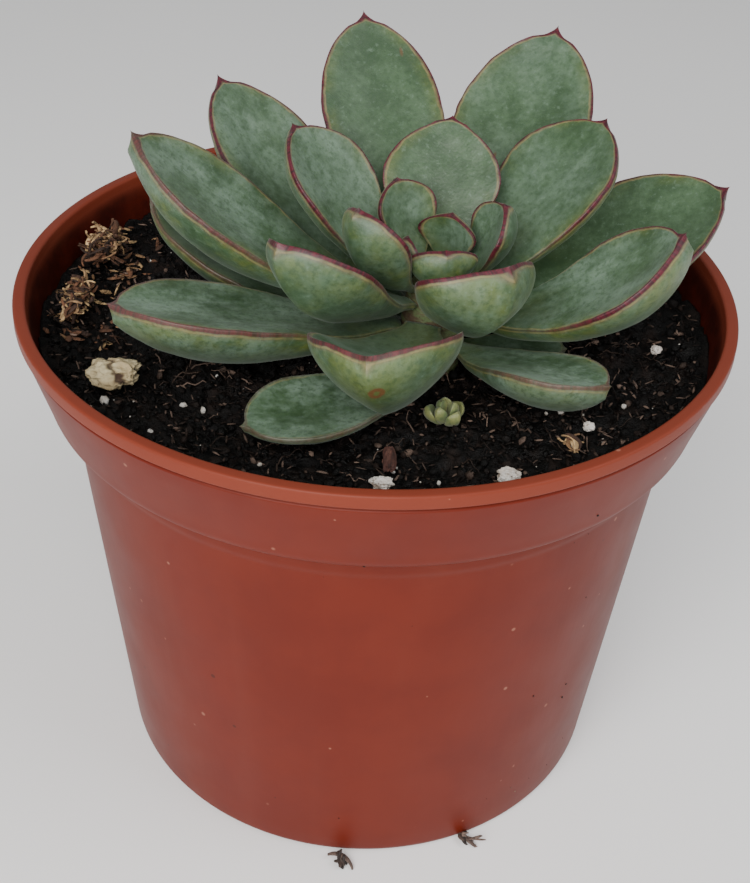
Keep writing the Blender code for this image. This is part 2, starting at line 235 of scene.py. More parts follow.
def closed_tube(rings: np.ndarray, start: np.ndarray, end: np.ndarray) -> Surface:
    """A closed skin over cross sections.

    Point (i, j) joins (i + 1, j) and (i, j + 1), the sides wrap round, and a fan of triangles
    closes each end on a pole.

    Args:
        rings: cross sections, shape (count, sides, 3).
        start: the pole before the first ring.
        end: the pole after the last ring.

    Returns:
        The surface, its faces pointing out.
    """
    count, sides = rings.shape[:2]
    ring = np.arange(count * sides).reshape(count, sides)
    onward = np.roll(ring, -1, axis=1)
    walls = np.stack([ring[:-1], onward[:-1], onward[1:], ring[1:]], axis=-1).reshape(-1, 4)
    first = np.stack([np.full(sides, count * sides), onward[0], ring[0]], axis=-1)
    last = np.stack([np.full(sides, count * sides + 1), ring[-1], onward[-1]], axis=-1)
    points = np.concatenate([rings.reshape(-1, 3), start[None], end[None]])
    return Surface(points, [walls, first, last]).outward()


def turned(profile: np.ndarray, segments: int) -> np.ndarray:
    """A profile of (radius, height) rows carried round the Z axis, shape (rows, segments, 3)."""
    around = np.linspace(0.0, 2.0 * math.pi, segments, endpoint=False)
    radius, height = profile.T
    return np.stack(
        [
            radius[:, None] * np.cos(around),
            radius[:, None] * np.sin(around),
            np.repeat(height[:, None], segments, axis=1),
        ],
        axis=-1,
    )


def rounded(corners: Sequence[tuple[float, float, float]], steps: int = 6) -> np.ndarray:
    """A profile whose corners are rounded.

    Each corner is cut back by its rounding along both its sides, or by half a side at most, and
    the cut ends are joined by a quadratic curve: (1-s)² a + 2s(1-s) corner + s² b.

    Args:
        corners: (radius, height, rounding) from one end of the profile to the other.
        steps: points on each rounded corner.

    Returns:
        The profile's (radius, height) rows.
    """
    rows = np.array(corners)
    share = np.linspace(0.0, 1.0, steps)[:, None]
    pieces = [rows[:1, :2]]
    for before, corner, after in zip(rows[:-2], rows[1:-1], rows[2:]):
        back, onward = before[:2] - corner[:2], after[:2] - corner[:2]
        cut = min(corner[2], 0.5 * np.linalg.norm(back), 0.5 * np.linalg.norm(onward))
        a = corner[:2] + back / np.linalg.norm(back) * cut
        b = corner[:2] + onward / np.linalg.norm(onward) * cut
        curve = (1 - share) ** 2 * a + 2 * share * (1 - share) * corner[:2] + share**2 * b
        pieces.append(curve if cut > 0.0 else corner[None, :2])
    return np.concatenate([*pieces, rows[-1:, :2]])


def crumb_template() -> Surface:
    """A unit icosahedron: 12 points on three golden rectangles, and 20 triangles."""
    golden = (1.0 + math.sqrt(5.0)) / 2.0
    rectangle = np.array([[-1, golden], [1, golden], [-1, -golden], [1, -golden]])
    zero = np.zeros((4, 1))
    rectangles = (
        (rectangle, zero),
        (zero, rectangle),
        (rectangle[:, 1:], zero, rectangle[:, :1]),
    )
    points = np.concatenate([np.hstack(columns) for columns in rectangles])
    distance = np.linalg.norm(points[:, None] - points[None], axis=-1)
    near = np.isclose(distance, 2.0)
    corners = [
        (a, b, c)
        for a in range(12)
        for b in range(a + 1, 12)
        for c in range(b + 1, 12)
        if near[a, b] and near[b, c] and near[a, c]
    ]
    faces = np.array(corners)
    first, second, third = points[faces].transpose(1, 0, 2)
    inside = np.einsum("ij,ij->i", np.cross(second - first, third - first), first) < 0.0
    faces[inside] = faces[inside][:, ::-1]
    return Surface(points / math.hypot(1.0, golden), [faces])


def scattered(
    generator: np.random.Generator,
    places: np.ndarray,
    sizes: np.ndarray,
    tones: np.ndarray,
    rough: float,
) -> Surface:
    """Small irregular lumps at given places.

    Each is the unit icosahedron with every point moved along its own radius by a random share,
    stretched by the lump's three half sizes, and turned at random about the vertical.

    Args:
        generator: where the random numbers come from.
        places: middles, shape (count, 3).
        sizes: half sizes along three axes, shape (count, 3).
        tones: a value from 0 to 1 for each lump's colour.
        rough: how far a point may move, as a share of its radius.

    Returns:
        All the lumps as one surface, with their tones.
    """
    base = crumb_template()
    count = len(places)
    swell = 1.0 + rough * generator.uniform(-1.0, 1.0, (count, len(base.points), 1))
    local = base.points[None] * swell * sizes[:, None, :]
    turn = generator.uniform(0.0, 2.0 * math.pi, count)
    lean = turns(generator, count)
    upright = np.zeros((count, 3, 3))
    upright[:, 0, 0] = upright[:, 1, 1] = np.cos(turn)
    upright[:, 1, 0], upright[:, 0, 1] = np.sin(turn), -np.sin(turn)
    upright[:, 2, 2] = 1.0
    loose = generator.uniform(size=count) < TILTED_SHARE
    rotation = np.where(loose[:, None, None], lean, upright)
    points = np.einsum("nij,nkj->nki", rotation, local) + places[:, None, :]
    starts = np.arange(count)[:, None, None] * len(base.points)
    faces = (base.faces[0][None] + starts).reshape(-1, 3)
    return Surface(points.reshape(-1, 3), [faces], {"tone": np.repeat(tones, len(base.points))})


def strand(
    path: np.ndarray, half_widths: np.ndarray, half_depths: np.ndarray, sides: int, twist: float
) -> Surface:
    """A strand with an oval section carried along a path.

    At each path point the section is cos(a)·width·side + sin(a)·depth·up, turned about the path
    by a steady twist. side is the path's direction crossed with a fixed slanting axis.

    Args:
        path: points in millimetres, shape (count, 3).
        half_widths: half the section's width at each path point.
        half_depths: half its depth at each path point.
        sides: points round the section.
        twist: turn of the section from one end to the other, in degrees.

    Returns:
        The closed surface.
    """
    ahead = np.gradient(path, axis=0)
    ahead /= np.linalg.norm(ahead, axis=1, keepdims=True)
    side = np.cross(ahead, np.array(SLANTED_AXIS))
    side /= np.linalg.norm(side, axis=1, keepdims=True)
    up = np.cross(side, ahead)
    around = np.linspace(0.0, 2.0 * math.pi, sides, endpoint=False)[None, :]
    turn = np.radians(twist) * np.linspace(0.0, 1.0, len(path))[:, None]
    wide = np.cos(around) * half_widths[:, None]
    deep = np.sin(around) * half_depths[:, None]
    along_side = wide * np.cos(turn) - deep * np.sin(turn)
    along_up = wide * np.sin(turn) + deep * np.cos(turn)
    rings = path[:, None] + along_side[..., None] * side[:, None] + along_up[..., None] * up[:, None]
    return closed_tube(rings, path[0], path[-1])


def place_piece(
    name: str,
    surface: Surface,
    finish: bpy.types.Material,
    replaced: Sequence[str] = (),
    flat: bool = False,
) -> bpy.types.Object:
    """Makes a piece from a surface, dresses it, and ties it to the frame.

    Args:
        name: the piece's name.
        surface: its shape.
        finish: its material.
        replaced: the frame's nodes that it stands for.
        flat: whether its faces are shaded flat.

    Returns:
        The piece's object, at the origin.
    """
    made = bpy.data.objects.new(name, surface.mesh(name, flat))
    made.data.materials.append(finish)
    bpy.context.scene.collection.objects.link(made)
    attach(made, BODY)
    if replaced:
        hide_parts(*replaced)
    triangles = sum(len(faces) * (faces.shape[1] - 2) for faces in surface.faces)
    log.info("%s: %d points, %d triangles", name, len(surface.points), triangles)
    return made


# ---------------------------------------------------------------- shader effects


class Wiring:
    """A hand for one node tree: it adds nodes, sets their sockets and joins them."""

    def __init__(self, tree: bpy.types.NodeTree) -> None:
        """Takes the tree to work on."""
        self.tree = tree

    def feed(self, socket: Socket, value: object) -> None:
        """Links a socket to a socket, or sets a plain value on it."""
        if isinstance(value, Socket):
            self.tree.links.new(value, socket)
        else:
            socket.default_value = value

    def add(self, kind: str, inputs: dict | None = None, **settings: object) -> bpy.types.Node:
        """Adds a node with its settings, and feeds its inputs by name or number."""
        node = self.tree.nodes.new(kind)
        for key, value in settings.items():
            setattr(node, key, value)
        for key, value in (inputs or {}).items():
            self.feed(node.inputs[key], value)
        return node

    def maths(self, operation: str, *values: object, clamp: bool = False) -> Socket:
        """One Math node's result."""
        node = self.add("ShaderNodeMath", dict(enumerate(values)), operation=operation, use_clamp=clamp)
        return node.outputs[0]

    def times(self, a: object, b: object, clamp: bool = False) -> Socket:
        """a times b, held from 0 to 1 if asked."""
        return self.maths("MULTIPLY", a, b, clamp=clamp)

    def scaled(self, value: object, factor: object, offset: object) -> Socket:
        """The value times a factor, plus an offset."""
        return self.maths("MULTIPLY_ADD", value, factor, offset)

    def step(self, value: object, low: object, high: object) -> Socket:
        """0 at low and 1 at high, with a smooth S between; low may be the larger."""
        inputs = {"Value": value, "From Min": low, "From Max": high}
        return self.add("ShaderNodeMapRange", inputs, interpolation_type="SMOOTHSTEP").outputs[0]

    def mix(self, share: object, a: object, b: object) -> Socket:
        """Colour a where share is 0, and colour b where it is 1."""
        a, b = (value if isinstance(value, Socket) else (*value, 1.0) for value in (a, b))
        node = self.add("ShaderNodeMix", {0: share, 6: a, 7: b}, data_type="RGBA")
        return node.outputs[2]

    def noise(
        self, vector: object, scale: object, detail: float = 3.0, rough: float = 0.55
    ) -> Socket:
        """A Noise node's value."""
        inputs = {"Vector": vector, "Scale": scale, "Detail": detail, "Roughness": rough}
        return self.add("ShaderNodeTexNoise", inputs).outputs[0]

    def stretched(self, vector: object, scale: tuple[float, float, float]) -> Socket:
        """The vector times a scale along each axis."""
        return self.add("ShaderNodeMapping", {"Vector": vector, "Scale": scale}).outputs[0]

    def value_of(self, name: str) -> Socket:
        """A number that the mesh carries on its points."""
        return self.add("ShaderNodeAttribute", attribute_name=name).outputs["Fac"]

    def vector_of(self, name: str) -> Socket:
        """A vector that the mesh carries on its points."""
        return self.add("ShaderNodeAttribute", attribute_name=name).outputs["Vector"]

    def object_place(self) -> Socket:
        """Object coordinates, in metres."""
        return self.add("ShaderNodeTexCoord").outputs["Object"]


class Effects:
    """The shader node groups that the finishes share, each built once.

    Every group takes its place vector and its sizes as inputs, and puts out one mask or height.
    """

    def __init__(self) -> None:
        """Builds the four groups."""
        self.mottle = self._mottle()
        self.specks = self._specks()
        self.streaks = self._streaks()
        self.relief = self._relief()

    @staticmethod
    def _begin(
        name: str, inputs: dict[str, float], output: str
    ) -> tuple[Wiring, bpy.types.Node, bpy.types.Node]:
        """A new group with a Vector input, the named numbers and one number out."""
        tree = bpy.data.node_groups.new(name, "ShaderNodeTree")
        tree.interface.new_socket("Vector", in_out="INPUT", socket_type="NodeSocketVector")
        for key, value in inputs.items():
            socket = tree.interface.new_socket(key, in_out="INPUT", socket_type="NodeSocketFloat")
            socket.default_value = value
        tree.interface.new_socket(output, in_out="OUTPUT", socket_type="NodeSocketFloat")
        wiring = Wiring(tree)
        return wiring, wiring.add("NodeGroupInput"), wiring.add("NodeGroupOutput")

    def _mottle(self) -> bpy.types.NodeTree:
        """Cloudy patches: noise broken up by finer noise, cut smoothly between Low and High."""
        numbers = {"Scale": 100.0, "Low": 0.45, "High": 0.6}
        wiring, given, out = self._begin("cloudy mottle", numbers, "Mask")
        broad = wiring.noise(given.outputs["Vector"], given.outputs["Scale"], 4.0, 0.6)
        finer = wiring.times(given.outputs["Scale"], 5.3)
        fine = wiring.noise(given.outputs["Vector"], finer, 3.0, 0.6)
        both = wiring.maths("ADD", wiring.times(broad, 0.75), wiring.times(fine, 0.25))
        mask = wiring.step(both, given.outputs["Low"], given.outputs["High"])
        wiring.feed(out.inputs["Mask"], mask)
        return wiring.tree

    def _specks(self) -> bpy.types.NodeTree:
        """Round specks in a share of a cell pattern's cells, each of its own size."""
        numbers = {"Scale": 400.0, "Share": 0.2, "Size": 0.25}
        wiring, given, out = self._begin("scattered specks", numbers, "Mask")
        place = {"Vector": given.outputs["Vector"], "Scale": given.outputs["Scale"]}
        cells = wiring.add("ShaderNodeTexVoronoi", place)
        split = wiring.add("ShaderNodeSeparateColor", {0: cells.outputs["Color"]})
        chosen = wiring.maths("LESS_THAN", split.outputs[0], given.outputs["Share"])
        share = wiring.scaled(split.outputs[1], 0.7, 0.3)
        size = wiring.times(given.outputs["Size"], share)
        inner = wiring.times(size, 0.55)
        dot = wiring.step(cells.outputs["Distance"], size, inner)
        wiring.feed(out.inputs["Mask"], wiring.times(dot, chosen))
        return wiring.tree

    def _streaks(self) -> bpy.types.NodeTree:
        """Long marks along the vector's second axis: noise squeezed across it by Stretch."""
        numbers = {"Scale": 100.0, "Stretch": 0.12, "Low": 0.4, "High": 0.7}
        wiring, given, out = self._begin("long streaks", numbers, "Mask")
        split = wiring.add("ShaderNodeSeparateXYZ", {0: given.outputs["Vector"]})
        along = wiring.times(split.outputs[1], given.outputs["Stretch"])
        joined = wiring.add("ShaderNodeCombineXYZ", {0: split.outputs[0], 1: along, 2: split.outputs[2]})
        noise = wiring.noise(joined.outputs[0], given.outputs["Scale"], 3.0, 0.6)
        wiring.feed(out.inputs["Mask"], wiring.step(noise, given.outputs["Low"], given.outputs["High"]))
        return wiring.tree

    def _relief(self) -> bpy.types.NodeTree:
        """A height from coarse and fine noise, Fine being the fine one's share."""
        wiring, given, out = self._begin("fine relief", {"Scale": 400.0, "Fine": 0.4}, "Height")
        coarse = wiring.noise(given.outputs["Vector"], given.outputs["Scale"], 2.0, 0.5)
        finer = wiring.times(given.outputs["Scale"], 6.0)
        fine = wiring.noise(given.outputs["Vector"], finer, 2.0, 0.5)
        part = wiring.times(fine, given.outputs["Fine"])
        wiring.feed(out.inputs["Height"], wiring.maths("ADD", coarse, part))
        return wiring.tree


class Finish:
    """What every finish does: it opens a material, wires it, and closes it on its shader."""

    effects: Effects | None = None

    def begin(self, name: str) -> tuple[bpy.types.Material, Wiring, bpy.types.Node]:
        """A new material, a hand for its tree, and its shader node."""
        if Finish.effects is None:
            Finish.effects = Effects()
        made = bpy.data.materials.new(name)
        made.use_nodes = True
        return made, Wiring(made.node_tree), made.node_tree.nodes["Principled BSDF"]

    def effect(
        self, wiring: Wiring, name: str, vector: Socket, **values: float
    ) -> Socket:
        """One of the shared groups, placed with its own values.

        Args:
            wiring: the material's hand.
            name: mottle, specks, streaks or relief.
            vector: the place that the pattern follows.
            values: the group's numbers, by their names in lower case.

        Returns:
            The group's mask or height.
        """
        node = wiring.add("ShaderNodeGroup", node_tree=getattr(Finish.effects, name))
        wiring.feed(node.inputs["Vector"], vector)
        for key, value in values.items():
            wiring.feed(node.inputs[key.title()], value)
        return node.outputs[0]

    def bump(
        self,
        wiring: Wiring,
        shader: bpy.types.Node,
        height: Socket,
        distance: float,
        strength: float = 1.0,
    ) -> None:
        """Feeds the shader's normal from a height, distance being its depth in metres."""
        inputs = {"Height": height, "Distance": distance, "Strength": strength}
        node = wiring.add("ShaderNodeBump", inputs)
        wiring.feed(shader.inputs["Normal"], node.outputs[0])


@dataclass(frozen=True)
class BladeReading:
    """What a leaf's mesh says at a point, as sockets.

    place is in metres and blade in millimetres across and along. margin and scar are millimetres
    from the edge and from a scar's middle, along runs from 0 at the stem to 1 at the tip, upper
    and lower are 1 on their sides, and the rest is the leaf's own habit.
    """

    place: Socket
    blade: Socket
    margin: Socket
    along: Socket
    upper: Socket
    lower: Socket
    redness: Socket
    bloom: Socket
    yellow: Socket
    scar: Socket

    @staticmethod
    def of(wiring: Wiring) -> "BladeReading":
        """The reading in a material's tree."""
        place, blade = wiring.object_place(), wiring.vector_of("blade")
        margin, along, upper = (wiring.value_of(name) for name in ("margin", "along", "upper"))
        habit = wiring.add("ShaderNodeSeparateXYZ", {0: wiring.vector_of("habit")}).outputs
        lower = wiring.maths("SUBTRACT", 1.0, upper)
        scar = wiring.value_of("scar")
        return BladeReading(place, blade, margin, along, upper, lower, *habit, scar)


@dataclass(frozen=True)
class LeafSkin(Finish):
    """Blue-green skin with a waxy bloom, yellow-green patches, fine freckles and a red margin."""

    deep: tuple = (0.028, 0.060, 0.024)
    green: tuple = (0.054, 0.098, 0.048)
    yellow: tuple = (0.108, 0.132, 0.020)
    bloom: tuple = (0.150, 0.220, 0.160)
    red: tuple = (0.088, 0.008, 0.017)
    dark_red: tuple = (0.034, 0.006, 0.010)
    blush: tuple = (0.150, 0.062, 0.036)
    cream: tuple = (0.270, 0.220, 0.090)
    brown: tuple = (0.110, 0.045, 0.015)

    def build(self) -> bpy.types.Material:
        """The material of every leaf of the rosette."""
        made, wiring, shader = self.begin("waxy leaf skin")
        at = BladeReading.of(wiring)
        colour = self.flesh(wiring, at)
        wax = self.wax(wiring, at)
        colour = wiring.mix(wax, colour, self.bloom)
        colour = self.freckled(wiring, at, colour)
        colour = self.edged(wiring, at, colour)
        colour = self.scarred(wiring, at, colour)
        wiring.feed(shader.inputs["Base Color"], colour)
        wiring.feed(shader.inputs["Roughness"], wiring.scaled(wax, 0.16, 0.44))
        shader.inputs["Specular IOR Level"].default_value = 0.42
        shader.inputs["Sheen Weight"].default_value = 0.10
        shader.inputs["Sheen Roughness"].default_value = 0.35
        shader.inputs["Sheen Tint"].default_value = (0.80, 0.92, 0.84, 1.0)
        shader.inputs["Subsurface Weight"].default_value = 0.10
        shader.inputs["Subsurface Radius"].default_value = (0.0012, 0.0018, 0.0006)
        shader.inputs["Subsurface Scale"].default_value = 1.0
        pores = self.effect(wiring, "relief", at.place, scale=420.0, fine=0.5)
        self.bump(wiring, shader, pores, 0.00012, 0.7)
        return made

    def flesh(self, wiring: Wiring, at: BladeReading) -> Socket:
        """Deep green and blue-green, turned yellow in patches.

        It turns under the blade, most near the margin, at the heart and along the upper rim.
        """
        cloud = self.effect(wiring, "mottle", at.place, scale=170.0, low=0.38, high=0.60)
        colour = wiring.mix(cloud, self.deep, self.green)
        patches = self.effect(wiring, "mottle", at.place, scale=95.0, low=0.42, high=0.60)
        near_edge = wiring.step(at.margin, 7.0, 1.0)
        under = wiring.times(at.lower, wiring.scaled(near_edge, 0.45, 0.45))
        heart = wiring.times(at.upper, wiring.step(at.along, 0.55, 0.05))
        sunny = wiring.maths("MAXIMUM", under, wiring.times(heart, 0.6))
        rim = wiring.times(wiring.times(at.upper, wiring.step(at.margin, 3.2, 0.8)), 0.5)
        sunny = wiring.maths("MAXIMUM", sunny, rim)
        sunny = wiring.times(sunny, wiring.times(patches, at.yellow), clamp=True)
        return wiring.mix(sunny, colour, self.yellow)

    def wax(self, wiring: Wiring, at: BladeReading) -> Socket:
        """How much bloom lies on the skin: patchy, rubbed off in streaks, thinner underneath."""
        wax = self.effect(wiring, "mottle", at.place, scale=120.0, low=0.36, high=0.62)
        rubbed = self.effect(wiring, "streaks", at.blade, scale=0.55, stretch=0.18, low=0.35, high=0.70)
        wax = wiring.times(wax, wiring.scaled(rubbed, 0.45, 0.55))
        outer = wiring.scaled(wiring.step(at.along, 0.1, 0.6), 0.45, 0.55)
        outer = wiring.times(outer, wiring.scaled(at.lower, -0.35, 1.0))
        return wiring.times(wax, wiring.times(outer, at.bloom), clamp=True)

    def freckled(self, wiring: Wiring, at: BladeReading, colour: Socket) -> Socket:
        """The colour under fine dark and pale grain, and a few brown dashes along the blade."""
        grain = wiring.noise(at.place, 1200.0, 3.0, 0.65)
        colour = wiring.mix(wiring.times(wiring.step(grain, 0.52, 0.34), 0.50), colour, self.deep)
        pale = wiring.times(wiring.step(grain, 0.55, 0.75), 0.35)
        colour = wiring.mix(pale, colour, self.bloom)
        drawn_out = wiring.stretched(at.blade, (1.0, 0.35, 1.0))
        dash = self.effect(wiring, "specks", drawn_out, scale=0.42, share=0.035, size=0.22)
        return wiring.mix(wiring.times(dash, 0.7), colour, self.brown)

    def edged(self, wiring: Wiring, at: BladeReading, colour: Socket) -> Socket:
        """The colour with its margin: a blush, a cream line inside it, and a blotched red line."""
        wander = wiring.noise(at.blade, 0.35, 3.0, 0.6)
        ripe = wiring.step(at.along, 0.22, 0.62)
        reach = wiring.scaled(ripe, 0.28, 0.10)
        reach = wiring.times(reach, wiring.scaled(wander, 1.5, 0.25))
        tip = wiring.step(at.along, 0.90, 1.0)
        reach = wiring.maths("ADD", reach, wiring.times(tip, 0.50))
        reach = wiring.times(reach, wiring.scaled(at.lower, -0.40, 1.50))
        strength = wiring.times(wiring.scaled(ripe, 0.75, 0.25), at.redness, clamp=True)
        wide = wiring.scaled(at.lower, 0.45, 0.45)
        blush = wiring.step(at.margin, wiring.maths("ADD", reach, wide), reach)
        blush = wiring.times(blush, wiring.times(strength, 0.40))
        colour = wiring.mix(blush, colour, self.blush)
        line = wiring.maths("ADD", reach, 0.16)
        inside = wiring.maths("ABSOLUTE", wiring.maths("SUBTRACT", at.margin, line))
        cream = wiring.step(inside, 0.20, 0.04)
        faint = wiring.step(wiring.noise(at.blade, 0.6, 2.0, 0.5), 0.30, 0.65)
        cream = wiring.times(cream, wiring.scaled(faint, 0.34, 0.08))
        colour = wiring.mix(cream, colour, self.cream)
        red = wiring.times(wiring.step(at.margin, reach, wiring.times(reach, 0.6)), strength)
        blotch = wiring.step(wiring.noise(at.blade, 2.0, 3.0, 0.6), 0.35, 0.62)
        crimson = wiring.mix(blotch, self.dark_red, self.red)
        return wiring.mix(red, colour, crimson)

    def scarred(self, wiring: Wiring, at: BladeReading, colour: Socket) -> Socket:
        """The colour with its scar: a brown ring round a pale middle."""
        from_ring = wiring.maths("ABSOLUTE", wiring.maths("SUBTRACT", at.scar, 0.78))
        ring = wiring.step(from_ring, 0.48, 0.16)
        return wiring.mix(wiring.times(ring, 0.90), colour, self.brown)


@dataclass(frozen=True)
class MouldedPlastic(Finish):
    """Terracotta-coloured satin plastic with a painted faint vertical sheen, a painted highlight on the
    lip, painted shade on the inner wall, scuffs and pale dust.
    """

    body: tuple = (0.105, 0.0105, 0.0040)
    # warmer tone of the plastic's mottle, also the colour of the painted highlight on the lip
    warm_and_lip_light: tuple = (0.150, 0.0180, 0.0065)
    # pale dust colour, also used for the painted highlight on the lip and the painted sheen
    dust_and_highlight: tuple = (0.400, 0.180, 0.120)
    # dark dirt for the grime specks, also the colour of the painted shade on the inner wall
    dirt: tuple = (0.012, 0.0022, 0.0014)

    def build(self) -> bpy.types.Material:
        """The pot's material; it reads lip (1 on the rim) and inside (1 on the inner wall)."""
        made, wiring, shader = self.begin("moulded terracotta plastic")
        place = wiring.object_place()
        lip, inside = wiring.value_of("lip"), wiring.value_of("inside")
        cloud = self.effect(wiring, "mottle", place, scale=60.0, low=0.35, high=0.65)
        colour = wiring.mix(wiring.times(cloud, 0.35), self.body, self.warm_and_lip_light)
        # Painted highlight on the lip: it is made warmer and lighter than the body, then a little paler
        # with the pale colour.
        colour = wiring.mix(wiring.times(lip, 0.8), colour, self.warm_and_lip_light)
        colour = wiring.mix(wiring.times(lip, 0.08), colour, self.dust_and_highlight)
        upright = wiring.stretched(place, (1.0, 1.0, 0.06))
        # Painted sheen: faint vertical streaks of the pale colour.
        drawn = wiring.noise(upright, 210.0, 2.0, 0.5)
        colour = wiring.mix(wiring.times(wiring.step(drawn, 0.5, 0.8), 0.015), colour, self.dust_and_highlight)
        dust = self.effect(wiring, "specks", place, scale=520.0, share=0.05, size=0.28)
        colour = wiring.mix(wiring.times(dust, 0.45), colour, self.dust_and_highlight)
        grime = self.effect(wiring, "specks", place, scale=330.0, share=0.035, size=0.20)
        colour = wiring.mix(wiring.times(grime, 0.6), colour, self.dirt)
        # Painted shade: the inner wall below the lip is darkened towards the dark dirt colour, in mottled
        # patches.
        height = wiring.add("ShaderNodeSeparateXYZ", {0: place}).outputs[2]
        inner_wall_shade = wiring.times(inside, wiring.step(height, 0.0803, 0.0780))
        shade_patches = self.effect(wiring, "mottle", place, scale=160.0, low=0.35, high=0.62)
        inner_wall_shade = wiring.times(inner_wall_shade, wiring.scaled(shade_patches, 0.30, 0.55))
        colour = wiring.mix(inner_wall_shade, colour, self.dirt)
        wiring.feed(shader.inputs["Base Color"], colour)
        wear = wiring.scaled(wiring.noise(place, 90.0, 3.0, 0.6), 0.16, 0.36)
        wiring.feed(shader.inputs["Roughness"], wear)
        shader.inputs["IOR"].default_value = 1.5
        shader.inputs["Specular IOR Level"].default_value = 0.16
        shader.inputs["Subsurface Weight"].default_value = 0.0
        drawn_lines = self.effect(wiring, "relief", upright, scale=300.0, fine=0.3)
        self.bump(wiring, shader, drawn_lines, 0.00004, 0.5)
        return made


@dataclass(frozen=True)
class Peat(Finish):
    """Damp dark peat: near-black with browner and greyer bits, by each bit's own tone."""

    black: tuple = (0.0012, 0.0009, 0.0008)
    brown: tuple = (0.012, 0.0065, 0.0045)
    tan: tuple = (0.220, 0.150, 0.115)

    def build(self) -> bpy.types.Material:
        """The material of the soil, its crumbs and its fibres; it reads tone (0 dark, 1 pale)."""
        made, wiring, shader = self.begin("damp peat")
        place = wiring.object_place()
        tone = wiring.value_of("tone")
        colour = wiring.mix(wiring.step(tone, 0.15, 0.65), self.black, self.brown)
        colour = wiring.mix(wiring.step(tone, 0.62, 1.0), colour, self.tan)
        damp = self.effect(wiring, "mottle", place, scale=240.0, low=0.40, high=0.62)
        colour = wiring.mix(wiring.times(damp, 0.55), colour, self.black)
        wiring.feed(shader.inputs["Base Color"], colour)
        wiring.feed(shader.inputs["Roughness"], wiring.scaled(damp, -0.30, 0.75))
        shader.inputs["Specular IOR Level"].default_value = 0.2
        self.bump(wiring, shader, self.effect(wiring, "relief", place, scale=900.0, fine=0.8), 0.00030)
        return made


@dataclass(frozen=True)
class Mineral(Finish):
    """Porous mineral grains: a main colour, a stain in cloudy patches, dark pits, and a darker colour in
    crevices and sunken places.
    """

    name: str
    main: tuple
    stain: tuple
    pits: tuple
    grain: float

    def build(self) -> bpy.types.Material:
        """The material; it reads hollow (1 in a crevice or sunken place, which is darkened)."""
        made, wiring, shader = self.begin(self.name)
        place = wiring.object_place()
        hollow = wiring.value_of("hollow")
        cloud = self.effect(wiring, "mottle", place, scale=self.grain, low=0.38, high=0.62)
        colour = wiring.mix(wiring.times(cloud, 0.7), self.main, self.stain)
        pits = self.effect(wiring, "specks", place, scale=self.grain * 4.0, share=0.3, size=0.34)
        colour = wiring.mix(wiring.times(pits, 0.75), colour, self.pits)
        # darker in the crevice and the sunken places
        colour = wiring.mix(hollow, colour, self.pits)
        wiring.feed(shader.inputs["Base Color"], colour)
        wiring.feed(shader.inputs["Roughness"], wiring.scaled(cloud, 0.15, 0.78))
        pores = self.effect(wiring, "relief", place, scale=self.grain * 5.0, fine=0.7)
        self.bump(wiring, shader, pores, 0.00025)
        return made


@dataclass(frozen=True)
class DryFibre(Finish):
    """Dry bark, shreds or roots: two colours in streaks, each shred of its own tone."""

    name: str
    dark: tuple
    main: tuple
    pale: tuple
    rough: float = 0.8

    def build(self) -> bpy.types.Material:
        """The material; it reads tone (0 dark, 1 pale)."""
        made, wiring, shader = self.begin(self.name)
        place = wiring.object_place()
        tone = wiring.value_of("tone")
        colour = wiring.mix(wiring.step(tone, 0.0, 0.5), self.dark, self.main)
        colour = wiring.mix(wiring.step(tone, 0.5, 1.0), colour, self.pale)
        lines = self.effect(wiring, "streaks", place, scale=1500.0, stretch=0.15, low=0.40, high=0.62)
        colour = wiring.mix(wiring.times(lines, 0.5), colour, self.dark)
        wiring.feed(shader.inputs["Base Color"], colour)
        wiring.feed(shader.inputs["Roughness"], wiring.scaled(lines, 0.12, self.rough))
        self.bump(wiring, shader, lines, 0.00010)
        return made


@dataclass(frozen=True)
class StemSkin(Finish):
    """Fleshy green-brown stem skin with rings of old leaf scars."""

    green: tuple = (0.110, 0.150, 0.060)
    brown: tuple = (0.090, 0.055, 0.032)

    def build(self) -> bpy.types.Material:
        """The stem's material."""
        made, wiring, shader = self.begin("stem skin")
        place = wiring.object_place()
        level = wiring.stretched(place, (1.0, 1.0, 3.0))
        scars = self.effect(wiring, "mottle", level, scale=260.0, low=0.42, high=0.58)
        colour = wiring.mix(scars, self.green, self.brown)
        wiring.feed(shader.inputs["Base Color"], colour)
        wiring.feed(shader.inputs["Roughness"], wiring.scaled(scars, 0.2, 0.55))
        self.bump(wiring, shader, self.effect(wiring, "relief", place, scale=500.0, fine=0.6), 0.00025)
        return made


@dataclass(frozen=True)
class BudSkin(Finish):
    """Pale yellow-green skin with dark freckles."""

    pale: tuple = (0.200, 0.215, 0.075)
    green: tuple = (0.095, 0.135, 0.045)
    freckle: tuple = (0.035, 0.030, 0.012)

    def build(self) -> bpy.types.Material:
        """The offset bud's material."""
        made, wiring, shader = self.begin("pale bud skin")
        place = wiring.object_place()
        cloud = self.effect(wiring, "mottle", place, scale=380.0, low=0.40, high=0.60)
        colour = wiring.mix(cloud, self.pale, self.green)
        spots = self.effect(wiring, "specks", place, scale=1300.0, share=0.28, size=0.38)
        colour = wiring.mix(wiring.times(spots, 0.85), colour, self.freckle)
        wiring.feed(shader.inputs["Base Color"], colour)
        wiring.feed(shader.inputs["Roughness"], wiring.scaled(cloud, 0.1, 0.5))
        shader.inputs["Sheen Weight"].default_value = 0.15
        self.bump(wiring, shader, self.effect(wiring, "relief", place, scale=900.0, fine=0.5), 0.00012)
        return made


# ---------------------------------------------------------------- the plant


